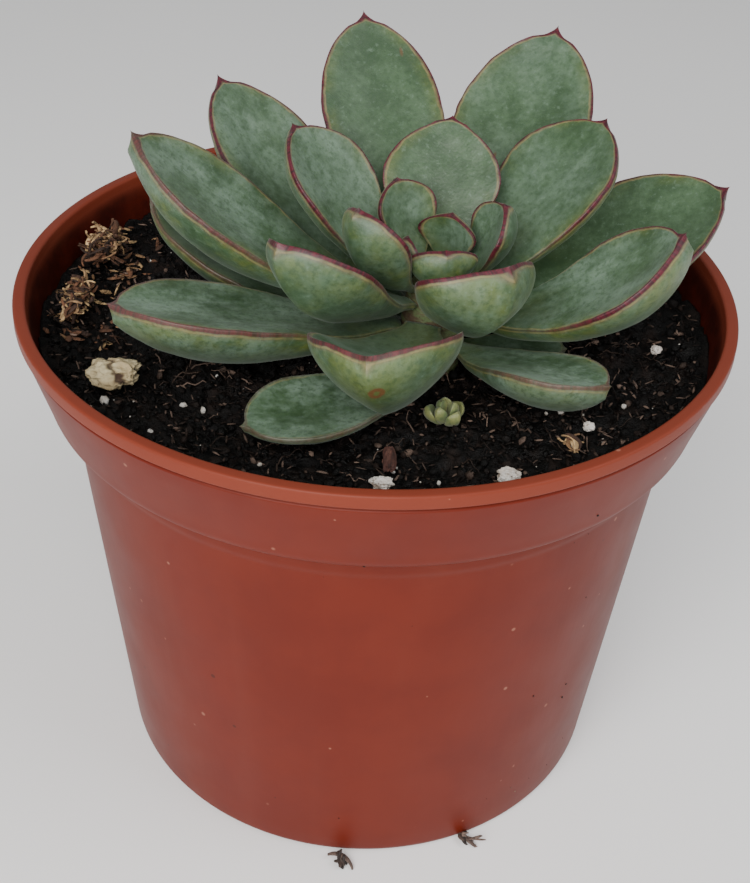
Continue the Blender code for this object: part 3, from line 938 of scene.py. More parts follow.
@dataclass(frozen=True)
class Blade:
    """The outline and section that every leaf shares, as shares of its length and width."""

    pinch: float = 0.6
    pinch_end: float = 0.2
    arch_end: float = 0.962
    arch_power: float = 2.2
    point_width: float = 0.26
    point_length: float = 0.055
    point_power: float = 1.6
    upper_rise: float = 0.16
    lower_drop: float = 0.84
    keel: float = 0.25
    tip_thinning: float = 0.78
    last: float = 0.996
    stations: int = 84
    sides: int = 60

    def narrowing(self, along: np.ndarray) -> np.ndarray:
        """The share of its fullness that the leaf has near the stem, rising smoothly to 1."""
        return self.pinch + (1.0 - self.pinch) * smooth(along / self.pinch_end)

    def half_width(self, leaf: "Leaf", along: np.ndarray) -> np.ndarray:
        """Half the blade's width.

        It opens from the neck as an S curve and closes as (1 - c^2.2)^arch, and the arch and a
        hollow-sided point, which narrows as the 1.6th power, are joined by a third-power mean.

        Args:
            leaf: the leaf, with its width, neck, widest place and arch.
            along: 0 at the stem to 1 at the tip.

        Returns:
            Half the width at each value of along.
        """
        opening = self.narrowing(along) * (leaf.neck + (1.0 - leaf.neck) * smooth(along / leaf.widest))
        closing = np.clip((along - leaf.widest) / (self.arch_end - leaf.widest), 0.0, 1.0)
        arch = opening * (1.0 - closing**self.arch_power) ** leaf.arch
        to_tip = np.clip((1.0 - along) / self.point_length, 0.0, 1.0)
        point = self.point_width * to_tip**self.point_power
        return 0.5 * leaf.width * (arch**3 + (point * (along > leaf.widest)) ** 3) ** (1.0 / 3.0)


@dataclass(frozen=True)
class Leaf:
    """One leaf: where it grows from the stem, its midrib and blade, and its colouring."""

    height: float
    azimuth: float
    base_pitch: float
    tip_pitch: float
    length: float
    width: float
    thickness: float
    roll: float = 0.0
    sweep: float = 0.0
    cup: float = 0.22
    neck: float = 0.34
    widest: float = 0.64
    arch: float = 0.62
    redness: float = 1.0
    # wax share; on some leaves it also paints light and shade: low where a leaf faces the key light, high
    # where it lies in shade
    bloom: float = 0.75
    yellow: float = 0.8
    scar: tuple[float, float] | None = None

    def surface(self, blade: Blade, foot: np.ndarray, start_radius: float, number: int) -> Surface:
        """The leaf's skin.

        The midrib starts beside the stem and turns its pitch and heading evenly on the way out.
        A section at angle a has cos(a) of half the width across it. Its rise is a share of the
        thickness times |sin(a)|^0.9, flat above and full below, with a keel under the middle, and
        both margins are lifted by the cup. Low waves and a thin bead along the margin are added.

        Args:
            blade: the shared outline.
            foot: the stem's axis where it meets the soil's middle height.
            start_radius: how far from the stem's axis the neck starts.
            number: the leaf's number, which seeds its waves.

        Returns:
            The closed surface with the values that the skin reads.
        """
        along = blade.last * (1.0 - (1.0 - np.linspace(0.0, 1.0, blade.stations)) ** 1.35)
        forward, left, midrib = self.midrib(along)
        up = np.cross(forward, left)
        roll = np.radians(self.roll * smooth(2.0 * along))[:, None]
        across = np.cos(roll) * left + np.sin(roll) * up
        up = np.cos(roll) * up - np.sin(roll) * left

        around = np.linspace(0.0, 2.0 * math.pi, blade.sides, endpoint=False)[None, :]
        share = np.cos(around)
        upper = np.sin(around) > 1e-6
        fullness = np.abs(np.sin(around)) ** 0.9
        closing = np.clip((along - 0.6) / 0.4, 0.0, 1.0)
        body = blade.narrowing(along) * (0.45 + 0.55 * smooth(along / 0.6))
        half = blade.half_width(self, along)[:, None]
        thick = self.thickness * body * (1.0 - blade.tip_thinning * closing**2.2)
        thick = np.minimum(thick[:, None], 1.6 * half)
        lift = (self.cup * smooth(1.6 * along) * (1.0 - 0.25 * closing))[:, None]
        keel = blade.keel * thick * (1.0 - np.abs(share)) ** 2 * fullness * ~upper
        rise = np.where(upper, blade.upper_rise, -blade.lower_drop) * thick * fullness - keel
        rise = rise + lift * half * np.abs(share) ** 1.8
        rise = rise + self.waves(along, share, half, upper, number)
        ripple = self.ripple(along, share, number)

        out = math.radians(self.azimuth)
        neck = np.array([start_radius * math.cos(out), start_radius * math.sin(out), self.height])
        sideways = across[:, None, :] * (share * half * ripple)[..., None]
        rings = (neck + foot + midrib)[:, None, :] + sideways + up[:, None, :] * rise[..., None]
        tip = neck + foot + self.midrib(np.array([1.0]))[2][0]
        surface = closed_tube(rings, rings[0].mean(axis=0), tip)
        surface.values = self.skin_values(rings, along, share * half, upper, number)
        return surface

    def midrib(self, along: np.ndarray) -> tuple[np.ndarray, np.ndarray, np.ndarray]:
        """The midrib's direction, its left side and its place, by summing small straight steps."""
        fine = np.linspace(0.0, 1.0, 201)
        pitch = np.radians(self.base_pitch + (self.tip_pitch - self.base_pitch) * fine)
        heading = np.radians(self.azimuth + self.sweep * fine)
        run = np.stack(
            [np.cos(pitch) * np.cos(heading), np.cos(pitch) * np.sin(heading), np.sin(pitch)], axis=-1
        )
        steps = 0.5 * (run[1:] + run[:-1]) * self.length / (len(fine) - 1)
        place = np.concatenate([np.zeros((1, 3)), np.cumsum(steps, axis=0)])
        left = np.stack([-np.sin(heading), np.cos(heading), np.zeros_like(heading)], axis=-1)
        return tuple(
            np.stack([np.interp(along, fine, column) for column in values.T], axis=-1)
            for values in (run, left, place)
        )

    def waves(
        self, along: np.ndarray, share: np.ndarray, half: np.ndarray, upper: np.ndarray, number: int
    ) -> np.ndarray:
        """Low waves of the whole blade, faint lengthwise ribs on top, and a bead along the margin."""
        spread = np.broadcast_arrays(along[:, None] * self.length, share * half, 0.0 * share)
        flat = np.stack(spread, axis=-1)
        free = smooth(along / 0.35)[:, None] * np.minimum(1.0, half / 4.0)
        sway = 0.22 * lattice_noise(flat, 8.0, 100 + number) + 0.07 * lattice_noise(flat, 2.6, 200 + number)
        ribbed = flat * np.array([0.12, 1.0, 1.0])
        ribs = 0.05 * lattice_noise(ribbed, 1.1, 300 + number) * upper
        bead = 0.10 * np.exp(-(((1.0 - np.abs(share)) / 0.05) ** 2)) * np.where(upper, 1.0, -0.5)
        return (sway + ribs + bead) * free

    def ripple(self, along: np.ndarray, share: np.ndarray, number: int) -> np.ndarray:
        """A small unevenness of each margin's outline, apart on the left and the right."""
        line = np.stack([along * self.length, np.zeros_like(along), np.zeros_like(along)], axis=-1)
        free = smooth(along / 0.4) * 0.012
        right = 1.0 + free * rough_noise(line, 3.5, 400 + number)
        left = 1.0 + free * rough_noise(line, 3.5, 500 + number)
        return np.where(share > 0.0, right[:, None], left[:, None])

    def skin_values(
        self, rings: np.ndarray, along: np.ndarray, across: np.ndarray, upper: np.ndarray, number: int
    ) -> dict[str, np.ndarray]:
        """The values that the skin's material reads.

        The distance to the margin is measured round the section: lengths are summed from side to
        side, and each point takes the shorter way to either margin.

        Args:
            rings: the leaf's sections.
            along: 0 to 1, one for each section.
            across: millimetres from the midrib, for each point of a section.
            upper: whether a point of a section is on the upper side.
            number: the leaf's number.

        Returns:
            margin, along, upper, blade, habit and scar, one row for each point and pole.
        """
        stations, sides = rings.shape[:2]
        spans = np.linalg.norm(np.roll(rings, -1, axis=1) - rings, axis=-1)
        travelled = np.cumsum(spans, axis=1) - spans
        whole = spans.sum(axis=1, keepdims=True)
        far = travelled[:, sides // 2 : sides // 2 + 1]
        margin = np.minimum(np.minimum(travelled, whole - travelled), np.abs(travelled - far))
        margin = np.minimum(margin, (1.0 - along[:, None]) * self.length + 0.25)
        grid = np.broadcast_to(along[:, None], (stations, sides))
        depth = np.broadcast_to(np.where(upper, 1.0, 0.0), (stations, sides))
        blade = np.stack([across, grid * self.length, np.full_like(grid, 7.3 * number)], axis=-1)
        scar = np.full((stations, sides), 99.0)
        if self.scar is not None:
            row = int(np.argmin(np.abs(along - self.scar[0])))
            column = int(np.argmin(np.abs(across[row] - self.scar[1]) + 99.0 * upper[0]))
            scar = np.linalg.norm(rings - rings[row, column], axis=-1)

        def with_poles(values: np.ndarray, first: object, last: object) -> np.ndarray:
            """The grid's values in a row, with those of the two poles after them."""
            flat = values.reshape(stations * sides, *values.shape[2:])
            return np.concatenate([flat, [first], [last]])

        habit = np.tile([self.redness, self.bloom, self.yellow], (stations * sides + 2, 1))
        return {
            "margin": with_poles(margin, 2.0, 0.0),
            "along": with_poles(grid, 0.0, 1.0),
            "upper": with_poles(depth, 0.0, 0.5),
            "blade": with_poles(blade, blade[0, 0], blade[-1, 0]),
            "habit": habit,
            "scar": with_poles(scar, 99.0, 99.0),
        }


@dataclass(frozen=True)
class Rosette:
    """The stem and the leaves that grow from it, the lowest and oldest first."""

    x: float = 8.0
    y: float = -8.0
    stem_radius: float = 4.4
    stem_height: float = 16.0
    stem_depth: float = 12.0
    neck_gap: float = 0.45
    soil_middle: float = 72.0
    blade: Blade = Blade()
    # Besides real wax, the bloom values carry painted light and shade: 0.05 darkens leaves that face the
    # key light, and the highest values lighten front leaves that lie in shade.
    leaves: tuple[Leaf, ...] = (
        Leaf(
            3.8, -117, -3, 7, 32, 15, 2.8, sweep=-40, cup=0.16, widest=0.66, arch=0.52,
            redness=0.4, bloom=1.3, yellow=0.2,
        ),
        Leaf(3.7, 51, -1, 12, 31, 14, 3.0, cup=0.20),
        Leaf(4.5, 85, 1, 18, 38, 15, 3.5, cup=0.20),
        Leaf(4.0, -6, -4, 8, 15, 9, 2.5, cup=0.20, redness=0.3),
        Leaf(5.2, -45, 3, 16, 26, 14, 4.5, roll=-12, sweep=14, cup=0.20, redness=0.6, bloom=1.35),
        Leaf(3.5, 122, 0, 12, 37, 15, 3.5, cup=0.20),
        Leaf(5.0, 160, 0, 34, 43, 16, 4.5, cup=0.20, redness=0.5, bloom=0.3, yellow=0.5),
        Leaf(7.2, -163, 3, 19, 42, 18, 6.0, roll=8, arch=0.54, redness=0.8, bloom=1.2, yellow=0.9),
        Leaf(5.8, 30, 7, 38, 45, 20, 5.0, roll=18, sweep=-24, bloom=0.05),
        Leaf(7.5, 66, 22, 50, 50, 21, 5.0, cup=0.20, bloom=0.35, yellow=0.7),
        Leaf(7.0, 141, 16, 50, 46, 18, 5.0, yellow=1.0),
        Leaf(9.0, 107, 27, 50, 47, 18.5, 5.0, cup=0.20, bloom=0.05),
        Leaf(
            8.8, -106, -4, 48, 31, 20, 5.6, roll=10, cup=0.44, neck=0.44, widest=0.62, arch=0.54,
            redness=0.9, bloom=0.6, scar=(0.87, 0.6),
        ),
        Leaf(9.5, 177, 14, 50, 45, 17, 6.0, roll=-4, cup=0.25, redness=0.75, bloom=0.9, yellow=1.0),
        Leaf(9.0, -14, 4, 60, 35, 16, 6.0, roll=12, cup=0.25, bloom=0.85),
        Leaf(10.5, 36, 30, 50, 33, 19, 5.0, bloom=0.55),
        Leaf(11.5, 150, 34, 54, 28, 16, 4.5, cup=0.25),
        Leaf(11.5, -141, 20, 50, 28, 15, 5.0, roll=12, cup=0.25, bloom=0.55),
        Leaf(12.5, 90, 38, 54, 24, 17, 4.5, sweep=-14, cup=0.20, widest=0.58, arch=0.80, bloom=0.05),
        Leaf(12.0, -74, 24, 60, 19, 18, 5.0, roll=-14, sweep=40, cup=0.25, bloom=0.8),
        Leaf(13.5, -144, 38, 74, 18, 11, 3.5, roll=10, cup=0.28),
        Leaf(13.5, 12, 44, 84, 13, 11, 3.0, cup=0.28),
        Leaf(14.5, 130, 46, 76, 13, 10, 2.5, cup=0.28),
        Leaf(14.3, -82, 44, 80, 9, 9.6, 2.4, cup=0.28, yellow=1.0),
        Leaf(14.5, 62, 60, 110, 8, 9, 2.0, cup=0.30, yellow=1.0),
        Leaf(15.0, -164, 60, 90, 6, 5, 2.0, cup=0.30, yellow=1.0),
    )

    def stem_radius_at(self, height: float) -> float:
        """The stub's radius under its blunt dome: r·sqrt(1 - (h/H)⁴)."""
        return self.stem_radius * math.sqrt(max(0.0, 1.0 - (max(0.0, height) / self.stem_height) ** 4))

    def stem(self) -> Surface:
        """The stem: the dome's profile from under the soil, with low rings where leaves fell."""
        over_soil = self.stem_height * np.sin(np.linspace(0.05, 1.52, 40))
        heights = np.concatenate([np.linspace(-self.stem_depth, 0.0, 8), over_soil])
        radii = np.array([self.stem_radius_at(float(height)) for height in heights])
        rings = turned(np.stack([radii, heights + self.soil_middle], axis=-1), 48)
        rings[..., :2] *= 1.0 + 0.03 * lattice_noise(rings * np.array([1.0, 1.0, 3.0]), 2.2, 7)[..., None]
        rings[..., :2] += np.array([self.x, self.y])
        foot = np.array([self.x, self.y, self.soil_middle - self.stem_depth])
        top = foot + np.array([0.0, 0.0, self.stem_depth + self.stem_height])
        return closed_tube(rings, foot, top)

    def build(self) -> None:
        """Makes and dresses the stem and every leaf, and logs how each fits its node's box."""
        place_piece("stem_skin", self.stem(), StemSkin().build(), ("stem",))
        skin = LeafSkin().build()
        foot = np.array([self.x, self.y, self.soil_middle])
        for number, leaf in enumerate(self.leaves, start=1):
            node = f"leaf_{number:02d}"
            start = self.stem_radius_at(leaf.height) + self.neck_gap
            surface = leaf.surface(self.blade, foot, start, number)
            place_piece(f"blade_{number:02d}", surface, skin, (node,))
            corners = np.array([list(corner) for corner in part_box(node)]) / MM
            reach = np.array([surface.points.min(axis=0), surface.points.max(axis=0)])
            apart = float(np.abs(reach - corners).max())
            log.info("%s differs from its node's box by %.2f mm", node, apart)


@dataclass(frozen=True)
class OffsetBud:
    """A tight tuft of tiny leaves, budding at the soil beside the front leaf."""

    node: str = "offset_bud"
    leaves: int = 7
    golden_turn: float = 137.5

    def build(self) -> None:
        """Makes the bud to the size of its node: leaves on a golden-angle spiral, steeper inwards."""
        low, high = (np.array(corner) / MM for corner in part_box(self.node))
        middle = 0.5 * (low + high)
        foot = np.array([middle[0], middle[1], low[2]])
        size = float(high[2] - low[2])
        blade = Blade(stations=24, sides=20)
        parts = []
        for index in range(self.leaves):
            inward = index / (self.leaves - 1)
            leaf = Leaf(
                height=0.35 * inward,
                azimuth=40.0 + self.golden_turn * index,
                base_pitch=20 + 45 * inward,
                tip_pitch=75 + 20 * inward,
                length=size * (0.92 - 0.05 * inward),
                width=size * (0.72 - 0.30 * inward),
                thickness=0.26 * size,
                cup=0.35,
                neck=0.6,
            )
            parts.append(leaf.surface(blade, foot, 0.12 * size * (1.0 - inward), 40 + index))
        place_piece("offset_tuft", Surface.join(parts), BudSkin().build(), (self.node,))


# ---------------------------------------------------------------- the pot


@dataclass(frozen=True)
class NurseryPot:
    """A thin moulded shell: lip, collar, tapered body, foot ring and a drained floor."""

    height: float = 81.0
    rim_radius: float = 52.5
    lip_width: float = 1.8
    lip_height: float = 2.0
    lip_rounding: float = 0.45
    groove: float = 0.35
    collar_height: float = 14.6
    collar_bottom: float = 49.4
    collar_rounding: float = 1.7
    body_top: float = 45.8
    base_radius: float = 39.6
    band_height: float = 4.2
    band_step: float = 0.16
    corner_rounding: float = 1.3
    wall: float = 1.2
    foot_width: float = 4.0
    foot_height: float = 1.6
    floor: float = 1.4
    drains: int = 8
    drain_radius: float = 3.0
    drain_edge: float = 3.0
    drain_turn: float = 20.0
    dirt_in_front: int = 60
    dirt_all_round: int = 30
    segments: int = 240

    @property
    def shoulder(self) -> float:
        """The height at which the collar turns in to the body."""
        return self.height - self.collar_height

    @property
    def floor_top(self) -> float:
        """The height of the floor's upper side."""
        return self.foot_height + self.floor

    def body_radius(self, height: float) -> float:
        """The body's outer radius: a straight taper from the foot to the collar."""
        return self.base_radius + (self.body_top - self.base_radius) * height / self.shoulder

    def inner_wall(self) -> list[tuple[float, float, float]]:
        """The inside of the shell as (radius, height, rounding), from the lip down to the floor."""
        return [
            (self.rim_radius - self.lip_width, self.height, self.lip_rounding),
            (self.rim_radius - self.lip_width - 0.1, self.height - 1.2, 0.3),
            (self.collar_bottom - self.wall, self.shoulder + 2.8, 1.0),
            (self.collar_bottom - self.wall - 1.6, self.shoulder + 0.5, 0.8),
            (self.body_radius(self.shoulder - 1.0) - self.wall, self.shoulder - 1.0, 0.5),
            (self.body_radius(self.floor_top) - self.wall, self.floor_top, 1.2),
        ]

    def profile(self) -> np.ndarray:
        """The whole section: from under the floor, out, up, over the lip and down the inside."""
        ring_inner = self.base_radius - self.foot_width
        band_top = self.shoulder - 0.3
        band_foot = self.shoulder - self.band_height
        lip_foot = self.height - self.lip_height
        under_lip = self.rim_radius - 0.4
        corners = [
            (4.0, self.foot_height, 0.0),
            (ring_inner, self.foot_height, 0.4),
            (ring_inner, 0.0, 0.4),
            (self.base_radius, 0.0, self.corner_rounding),
            (self.body_radius(band_foot), band_foot, 0.5),
            (self.body_radius(band_foot + 0.8) + self.band_step, band_foot + 0.8, 0.5),
            (self.body_radius(band_top) + self.band_step, band_top, 0.7),
            (self.collar_bottom - 0.6, self.shoulder + 0.2, self.collar_rounding),
            (self.collar_bottom, self.shoulder + 2.6, 0.8),
            (under_lip, lip_foot - 0.7, 0.2),
            (under_lip - self.groove, lip_foot - 0.4, 0.2),
            (under_lip - self.groove, lip_foot - 0.1, 0.15),
            (self.rim_radius, lip_foot, 0.25),
            (self.rim_radius, self.height, self.lip_rounding),
            *self.inner_wall(),
            (4.0, self.floor_top, 0.0),
        ]
        return self.subdivided(rounded(corners), 3.0)

    @staticmethod
    def subdivided(profile: np.ndarray, longest: float) -> np.ndarray:
        """The profile with points added so that no side is longer than the given length."""
        spans = np.linalg.norm(np.diff(profile, axis=0), axis=1)
        whole = np.concatenate([[0.0], np.cumsum(spans)])
        counts = np.maximum(1, np.ceil(spans / longest).astype(int))
        marks = [np.linspace(a, b, count, endpoint=False) for a, b, count in zip(whole, whole[1:], counts)]
        marks = np.concatenate([*marks, whole[-1:]])
        return np.stack([np.interp(marks, whole, profile[:, axis]) for axis in range(2)], axis=-1)

    def drilled(self, shell: Surface) -> Surface:
        """The shell with its drain holes: round punches cut through the floor by a Boolean."""
        pot = bpy.data.objects.new("undrilled", shell.mesh("undrilled"))
        circle = self.base_radius - self.foot_width - self.drain_edge - self.drain_radius
        punches = []
        for number in range(self.drains):
            turn = 2.0 * math.pi * number / self.drains + math.radians(self.drain_turn)
            ends = [[self.drain_radius, -1.0], [self.drain_radius, self.floor_top + 1.0]]
            rings = turned(np.array(ends), 32)
            rings[..., :2] += circle * np.array([math.cos(turn), math.sin(turn)])
            punches.append(closed_tube(rings, rings[0].mean(axis=0), rings[-1].mean(axis=0)))
        punch = bpy.data.objects.new("punches", Surface.join(punches).mesh("punches"))
        for made in (pot, punch):
            bpy.context.scene.collection.objects.link(made)
        cut = pot.modifiers.new("drains", "BOOLEAN")
        cut.object = punch
        evaluated = pot.evaluated_get(bpy.context.evaluated_depsgraph_get())
        mesh = bpy.data.meshes.new_from_object(evaluated)
        points = np.empty(len(mesh.vertices) * 3, np.float32)
        mesh.vertices.foreach_get("co", points)
        sizes = np.empty(len(mesh.polygons), np.int32)
        mesh.polygons.foreach_get("loop_total", sizes)
        corners = np.empty(len(mesh.loops), np.int32)
        mesh.loops.foreach_get("vertex_index", corners)
        starts = np.cumsum(sizes) - sizes
        faces = [
            corners[starts[sizes == size][:, None] + np.arange(size)] for size in np.unique(sizes)
        ]
        for made in (pot, punch):
            bpy.data.objects.remove(made)
        return Surface(points.reshape(-1, 3).astype(float) / MM, faces)

    def build(self) -> None:
        """Makes and dresses the shell, and the specks of dirt that stick to it."""
        poles = (np.array([0.0, 0.0, self.foot_height]), np.array([0.0, 0.0, self.floor_top]))
        shell = self.drilled(closed_tube(turned(self.profile(), self.segments), *poles))
        radius, height = np.hypot(shell.points[:, 0], shell.points[:, 1]), shell.points[:, 2]
        inner = np.array(self.inner_wall())[::-1]
        wall_middle = np.interp(height, inner[:, 1], inner[:, 0]) + 0.5 * self.wall
        shell.values = {
            "lip": smooth((height - self.height + self.lip_height + 0.3) / 0.5),
            "inside": smooth((wall_middle - radius) / 0.3) * (height > self.foot_height + 0.1),
        }
        place_piece("pot_shell", shell, MouldedPlastic().build(), ("pot",))
        self.dirt()

    def outer_radius(self, height: np.ndarray) -> np.ndarray:
        """The outside's radius at a height, read off the profile between the foot and the lip."""
        rows = self.profile()
        below_lip = rows[:, 1] < self.height - self.lip_height
        outside = rows[below_lip & (rows[:, 0] >= self.base_radius - 0.5)]
        order = np.argsort(outside[:, 1])
        return np.interp(height, outside[order, 1], outside[order, 0])

    def dirt(self) -> None:
        """Specks of soil and a few pale grains on the outside, most of them low on the right.

        Listed specks are (azimuth, height, half size); the rest are drawn at random.
        """
        placed = np.array(
            [
                (-44, 54, 0.30), (-43, 47, 0.26), (-54, 48, 0.32), (-40, 37, 0.30), (-60, 45, 0.24),
                (-42, 31, 0.30), (-41, 27, 0.26), (-41, 24, 0.30), (-40, 20, 0.26), (-45, 19, 0.28),
                (-45, 10, 0.30), (-64, 18, 0.26), (-90, 67, 0.22), (-82, 72, 0.24), (-46, 72, 0.34),
                (-73, 71, 0.24), (-52, 30, 0.22), (-50, 15, 0.24),
            ]
        )
        generator = np.random.default_rng(11)
        in_front = generator.normal(-62.0, 26.0, self.dirt_in_front)
        all_round = generator.uniform(-180, 180, self.dirt_all_round)
        count = self.dirt_in_front + self.dirt_all_round
        azimuth = np.concatenate([placed[:, 0], in_front, all_round])
        height = np.concatenate([placed[:, 1], generator.uniform(3.0, 76.0, count)])
        size = np.concatenate([placed[:, 2], 0.07 + 0.14 * generator.random(count) ** 2])
        radius = self.outer_radius(height) + 0.02
        turn = np.radians(azimuth)
        places = np.stack([radius * np.cos(turn), radius * np.sin(turn), height], axis=-1)
        sizes = np.stack([size, size * 0.8, size * 0.7], axis=-1)
        tones = np.where(generator.random(len(size)) < 0.12, 1.0, 0.45 * generator.random(len(size)))
        specks = scattered(generator, places, sizes, tones, 0.25)
        place_piece("pot_dirt", specks, Peat().build())


# ---------------------------------------------------------------- the soil and what lies on it


@dataclass(frozen=True)
class SoilBed:
    """A dished bed of dark peat under loose crumbs, fibres, bark flakes and white grit."""

    pot: NurseryPot
    below_rim: float = 6.0
    dish: float = 3.0
    bumps: float = 0.4
    reach: float = 50.7
    wall_gap: float = 0.1
    sunk: float = 0.35
    rings: int = 130
    segments: int = 360
    crumbs: int = 5200
    chaff: int = 5000
    fibres: int = 170
    flakes: int = 90
    litter: int = 110
    grit: int = 90

    @property
    def edge(self) -> float:
        """The bed's radius where it meets the inner wall."""
        return self.wall_radius(self.pot.height - self.below_rim - 0.3) - self.wall_gap

    def wall_radius(self, height: np.ndarray | float) -> np.ndarray:
        """The inner wall's radius at a height."""
        inner = np.array(self.pot.inner_wall())[::-1]
        return np.interp(height, inner[:, 1], inner[:, 0])

    def level(self, x: np.ndarray, y: np.ndarray) -> np.ndarray:
        """The bed's even height: a dish rising as (r/R)⁴ to the wall, with broad low bumps."""
        share = np.minimum(np.hypot(x, y) / self.reach, 1.0)
        bumps = np.sin(0.31 * x + 1.0) * np.cos(0.27 * y - 0.4) + 0.5 * np.sin(0.62 * y + 0.45 * x)
        middle = self.pot.height - self.below_rim - self.dish
        return middle + self.dish * share**4 + self.bumps * bumps * (1.0 - share**6)

    def top(self, x: np.ndarray, y: np.ndarray) -> np.ndarray:
        """The bed's real height: the even one lowered a little, with clods and sharp creases."""
        flat = np.stack([x, y, np.zeros_like(x)], axis=-1)
        clods = 0.70 * rough_noise(flat, 4.5, 31)
        creases = 0.60 * (1.0 - 2.0 * np.abs(rough_noise(flat, 1.9, 32, 2)))
        return self.level(x, y) - self.sunk + clods + creases

    def bed(self) -> Surface:
        """The bed: rings from the middle out over the top, down the inner wall and to the bottom."""
        out = self.edge * np.linspace(0.0, 1.0, self.rings + 1)[1:] ** 0.85
        over = turned(np.stack([out, np.zeros_like(out)], axis=-1), self.segments)
        over[..., 2] = self.top(over[..., 0], over[..., 1])
        bottom = self.pot.floor_top + self.wall_gap
        down = np.linspace(float(over[-1, :, 2].min()) - 0.6, bottom, 24)
        side = turned(np.stack([self.wall_radius(down) - self.wall_gap, down], axis=-1), self.segments)
        inward = turned(np.array([[20.0, bottom]]), self.segments)
        rings = np.concatenate([over, side, inward])
        middle = np.array([0.0, 0.0, float(self.top(np.zeros(1), np.zeros(1))[0])])
        made = closed_tube(rings, middle, np.array([0.0, 0.0, bottom]))
        made.values = {"tone": 0.25 + 0.30 * rough_noise(made.points, 2.2, 33)}
        return made

    def spots(self, generator: np.random.Generator, count: int, inset: float) -> np.ndarray:
        """Places spread evenly over the bed's top, at least a given distance from the wall."""
        radius = (self.edge - inset) * np.sqrt(generator.uniform(size=count))
        turn = generator.uniform(0.0, 2.0 * math.pi, count)
        x, y = radius * np.cos(turn), radius * np.sin(turn)
        return np.stack([x, y, self.top(x, y)], axis=-1)

    def crumb_layer(self) -> Surface:
        """Thousands of peat crumbs, most of them small and dark, pressed half into the bed."""
        generator = np.random.default_rng(21)
        places = self.spots(generator, self.crumbs, 0.8)
        size = 0.20 + 0.95 * generator.beta(1.0, 4.5, self.crumbs)
        shape = generator.uniform(0.6, 1.25, (self.crumbs, 3)) * np.array([1.0, 1.0, 0.8])
        places[:, 2] += size * generator.uniform(-0.1, 0.8, self.crumbs)
        tones = generator.beta(0.6, 1.9, self.crumbs)
        return scattered(generator, places, size[:, None] * shape, tones, 0.32)

    def chaff_layer(self) -> Surface:
        """Short splinters of peat and bark, every way up, that catch the light."""
        generator = np.random.default_rng(25)
        places = self.spots(generator, self.chaff, 1.2)
        length = generator.uniform(0.35, 1.05, self.chaff)
        girth = generator.uniform(0.09, 0.22, self.chaff)
        shape = np.stack([length, girth, girth * generator.uniform(0.4, 1.0, self.chaff)], axis=-1)
        places[:, 2] += generator.uniform(0.15, 0.75, self.chaff)
        tones = generator.beta(1.0, 1.3, self.chaff)
        return scattered(generator, places, shape, tones, 0.22)

    def flake_layer(self) -> Surface:
        """Flat bits of bark, browner and paler than the peat."""
        generator = np.random.default_rng(22)
        places = self.spots(generator, self.flakes, 3.0)
        size = generator.uniform(0.5, 1.5, self.flakes)
        width = size * generator.uniform(0.4, 0.8, self.flakes)
        shape = np.stack([size, width, 0.14 + 0.08 * size], axis=-1)
        places[:, 2] += 0.25
        return scattered(generator, places, shape, generator.uniform(0.45, 0.95, self.flakes), 0.25)

    def litter_layer(self) -> Surface:
        """Shreds fallen out of the bark tufts: flat slivers in an arc of the bed on the left."""
        generator = np.random.default_rng(26)
        radius = generator.uniform(38.0, self.edge - 1.0, self.litter)
        turn = np.radians(generator.uniform(148.0, 194.0, self.litter))
        x, y = radius * np.cos(turn), radius * np.sin(turn)
        places = np.stack([x, y, self.top(x, y) + 0.35], axis=-1)
        length = generator.uniform(0.5, 1.8, self.litter)
        width = length * generator.uniform(0.20, 0.45, self.litter)
        shape = np.stack([length, width, np.full(self.litter, 0.15)], axis=-1)
        return scattered(generator, places, shape, generator.beta(1.4, 1.4, self.litter), 0.25)

    def fibre_layer(self) -> Surface:
        """Fine rootlets and peat fibres: slightly bent strands that follow the bed."""
        generator = np.random.default_rng(23)
        starts = self.spots(generator, self.fibres, 8.0)
        parts = []
        for start in starts:
            heading = generator.uniform(0.0, 2.0 * math.pi)
            bend = generator.normal(0.0, 1.1)
            length = generator.uniform(2.5, 8.0)
            share = np.linspace(0.0, 1.0, 12)
            angle = heading + bend * share
            x = start[0] + np.cumsum(np.cos(angle)) * length / 12
            y = start[1] + np.cumsum(np.sin(angle)) * length / 12
            arch = generator.uniform(0.1, 0.8) * np.sin(np.pi * share)
            path = np.stack([x, y, self.top(x, y) + 0.25 + arch], axis=-1)
            thick = generator.uniform(0.06, 0.15) * (1.0 - 0.6 * share)
            part = strand(path, thick, thick, 5, 0.0)
            part.values = {"tone": np.full(len(part.points), generator.uniform(0.35, 1.0))}
            parts.append(part)
        return Surface.join(parts)

    def grit_layer(self) -> Surface:
        """White grains: a few coarse ones listed as (x, y, half size), and fine dust."""
        placed = np.array(
            [
                (-36.0, -26.0, 0.70), (-26.0, -22.0, 0.55), (-23.0, -24.0, 0.50), (-29.0, -31.5, 0.45),
                (26.0, -22.0, 0.50), (-14.0, -38.0, 0.40), (9.0, -40.0, 0.40), (35.0, -20.0, 0.45),
            ]
        )
        generator = np.random.default_rng(24)
        drawn = self.spots(generator, self.grit, 2.0)
        x = np.concatenate([placed[:, 0], drawn[:, 0]])
        y = np.concatenate([placed[:, 1], drawn[:, 1]])
        size = np.concatenate([placed[:, 2], 0.10 + 0.28 * generator.random(self.grit) ** 3])
        places = np.stack([x, y, self.top(x, y) + 0.35 + 0.5 * size], axis=-1)
        shape = size[:, None] * generator.uniform(0.7, 1.2, (len(size), 3))
        made = scattered(generator, places, shape, np.zeros(len(size)), 0.22)
        made.values = {"hollow": made.values["tone"]}
        return made

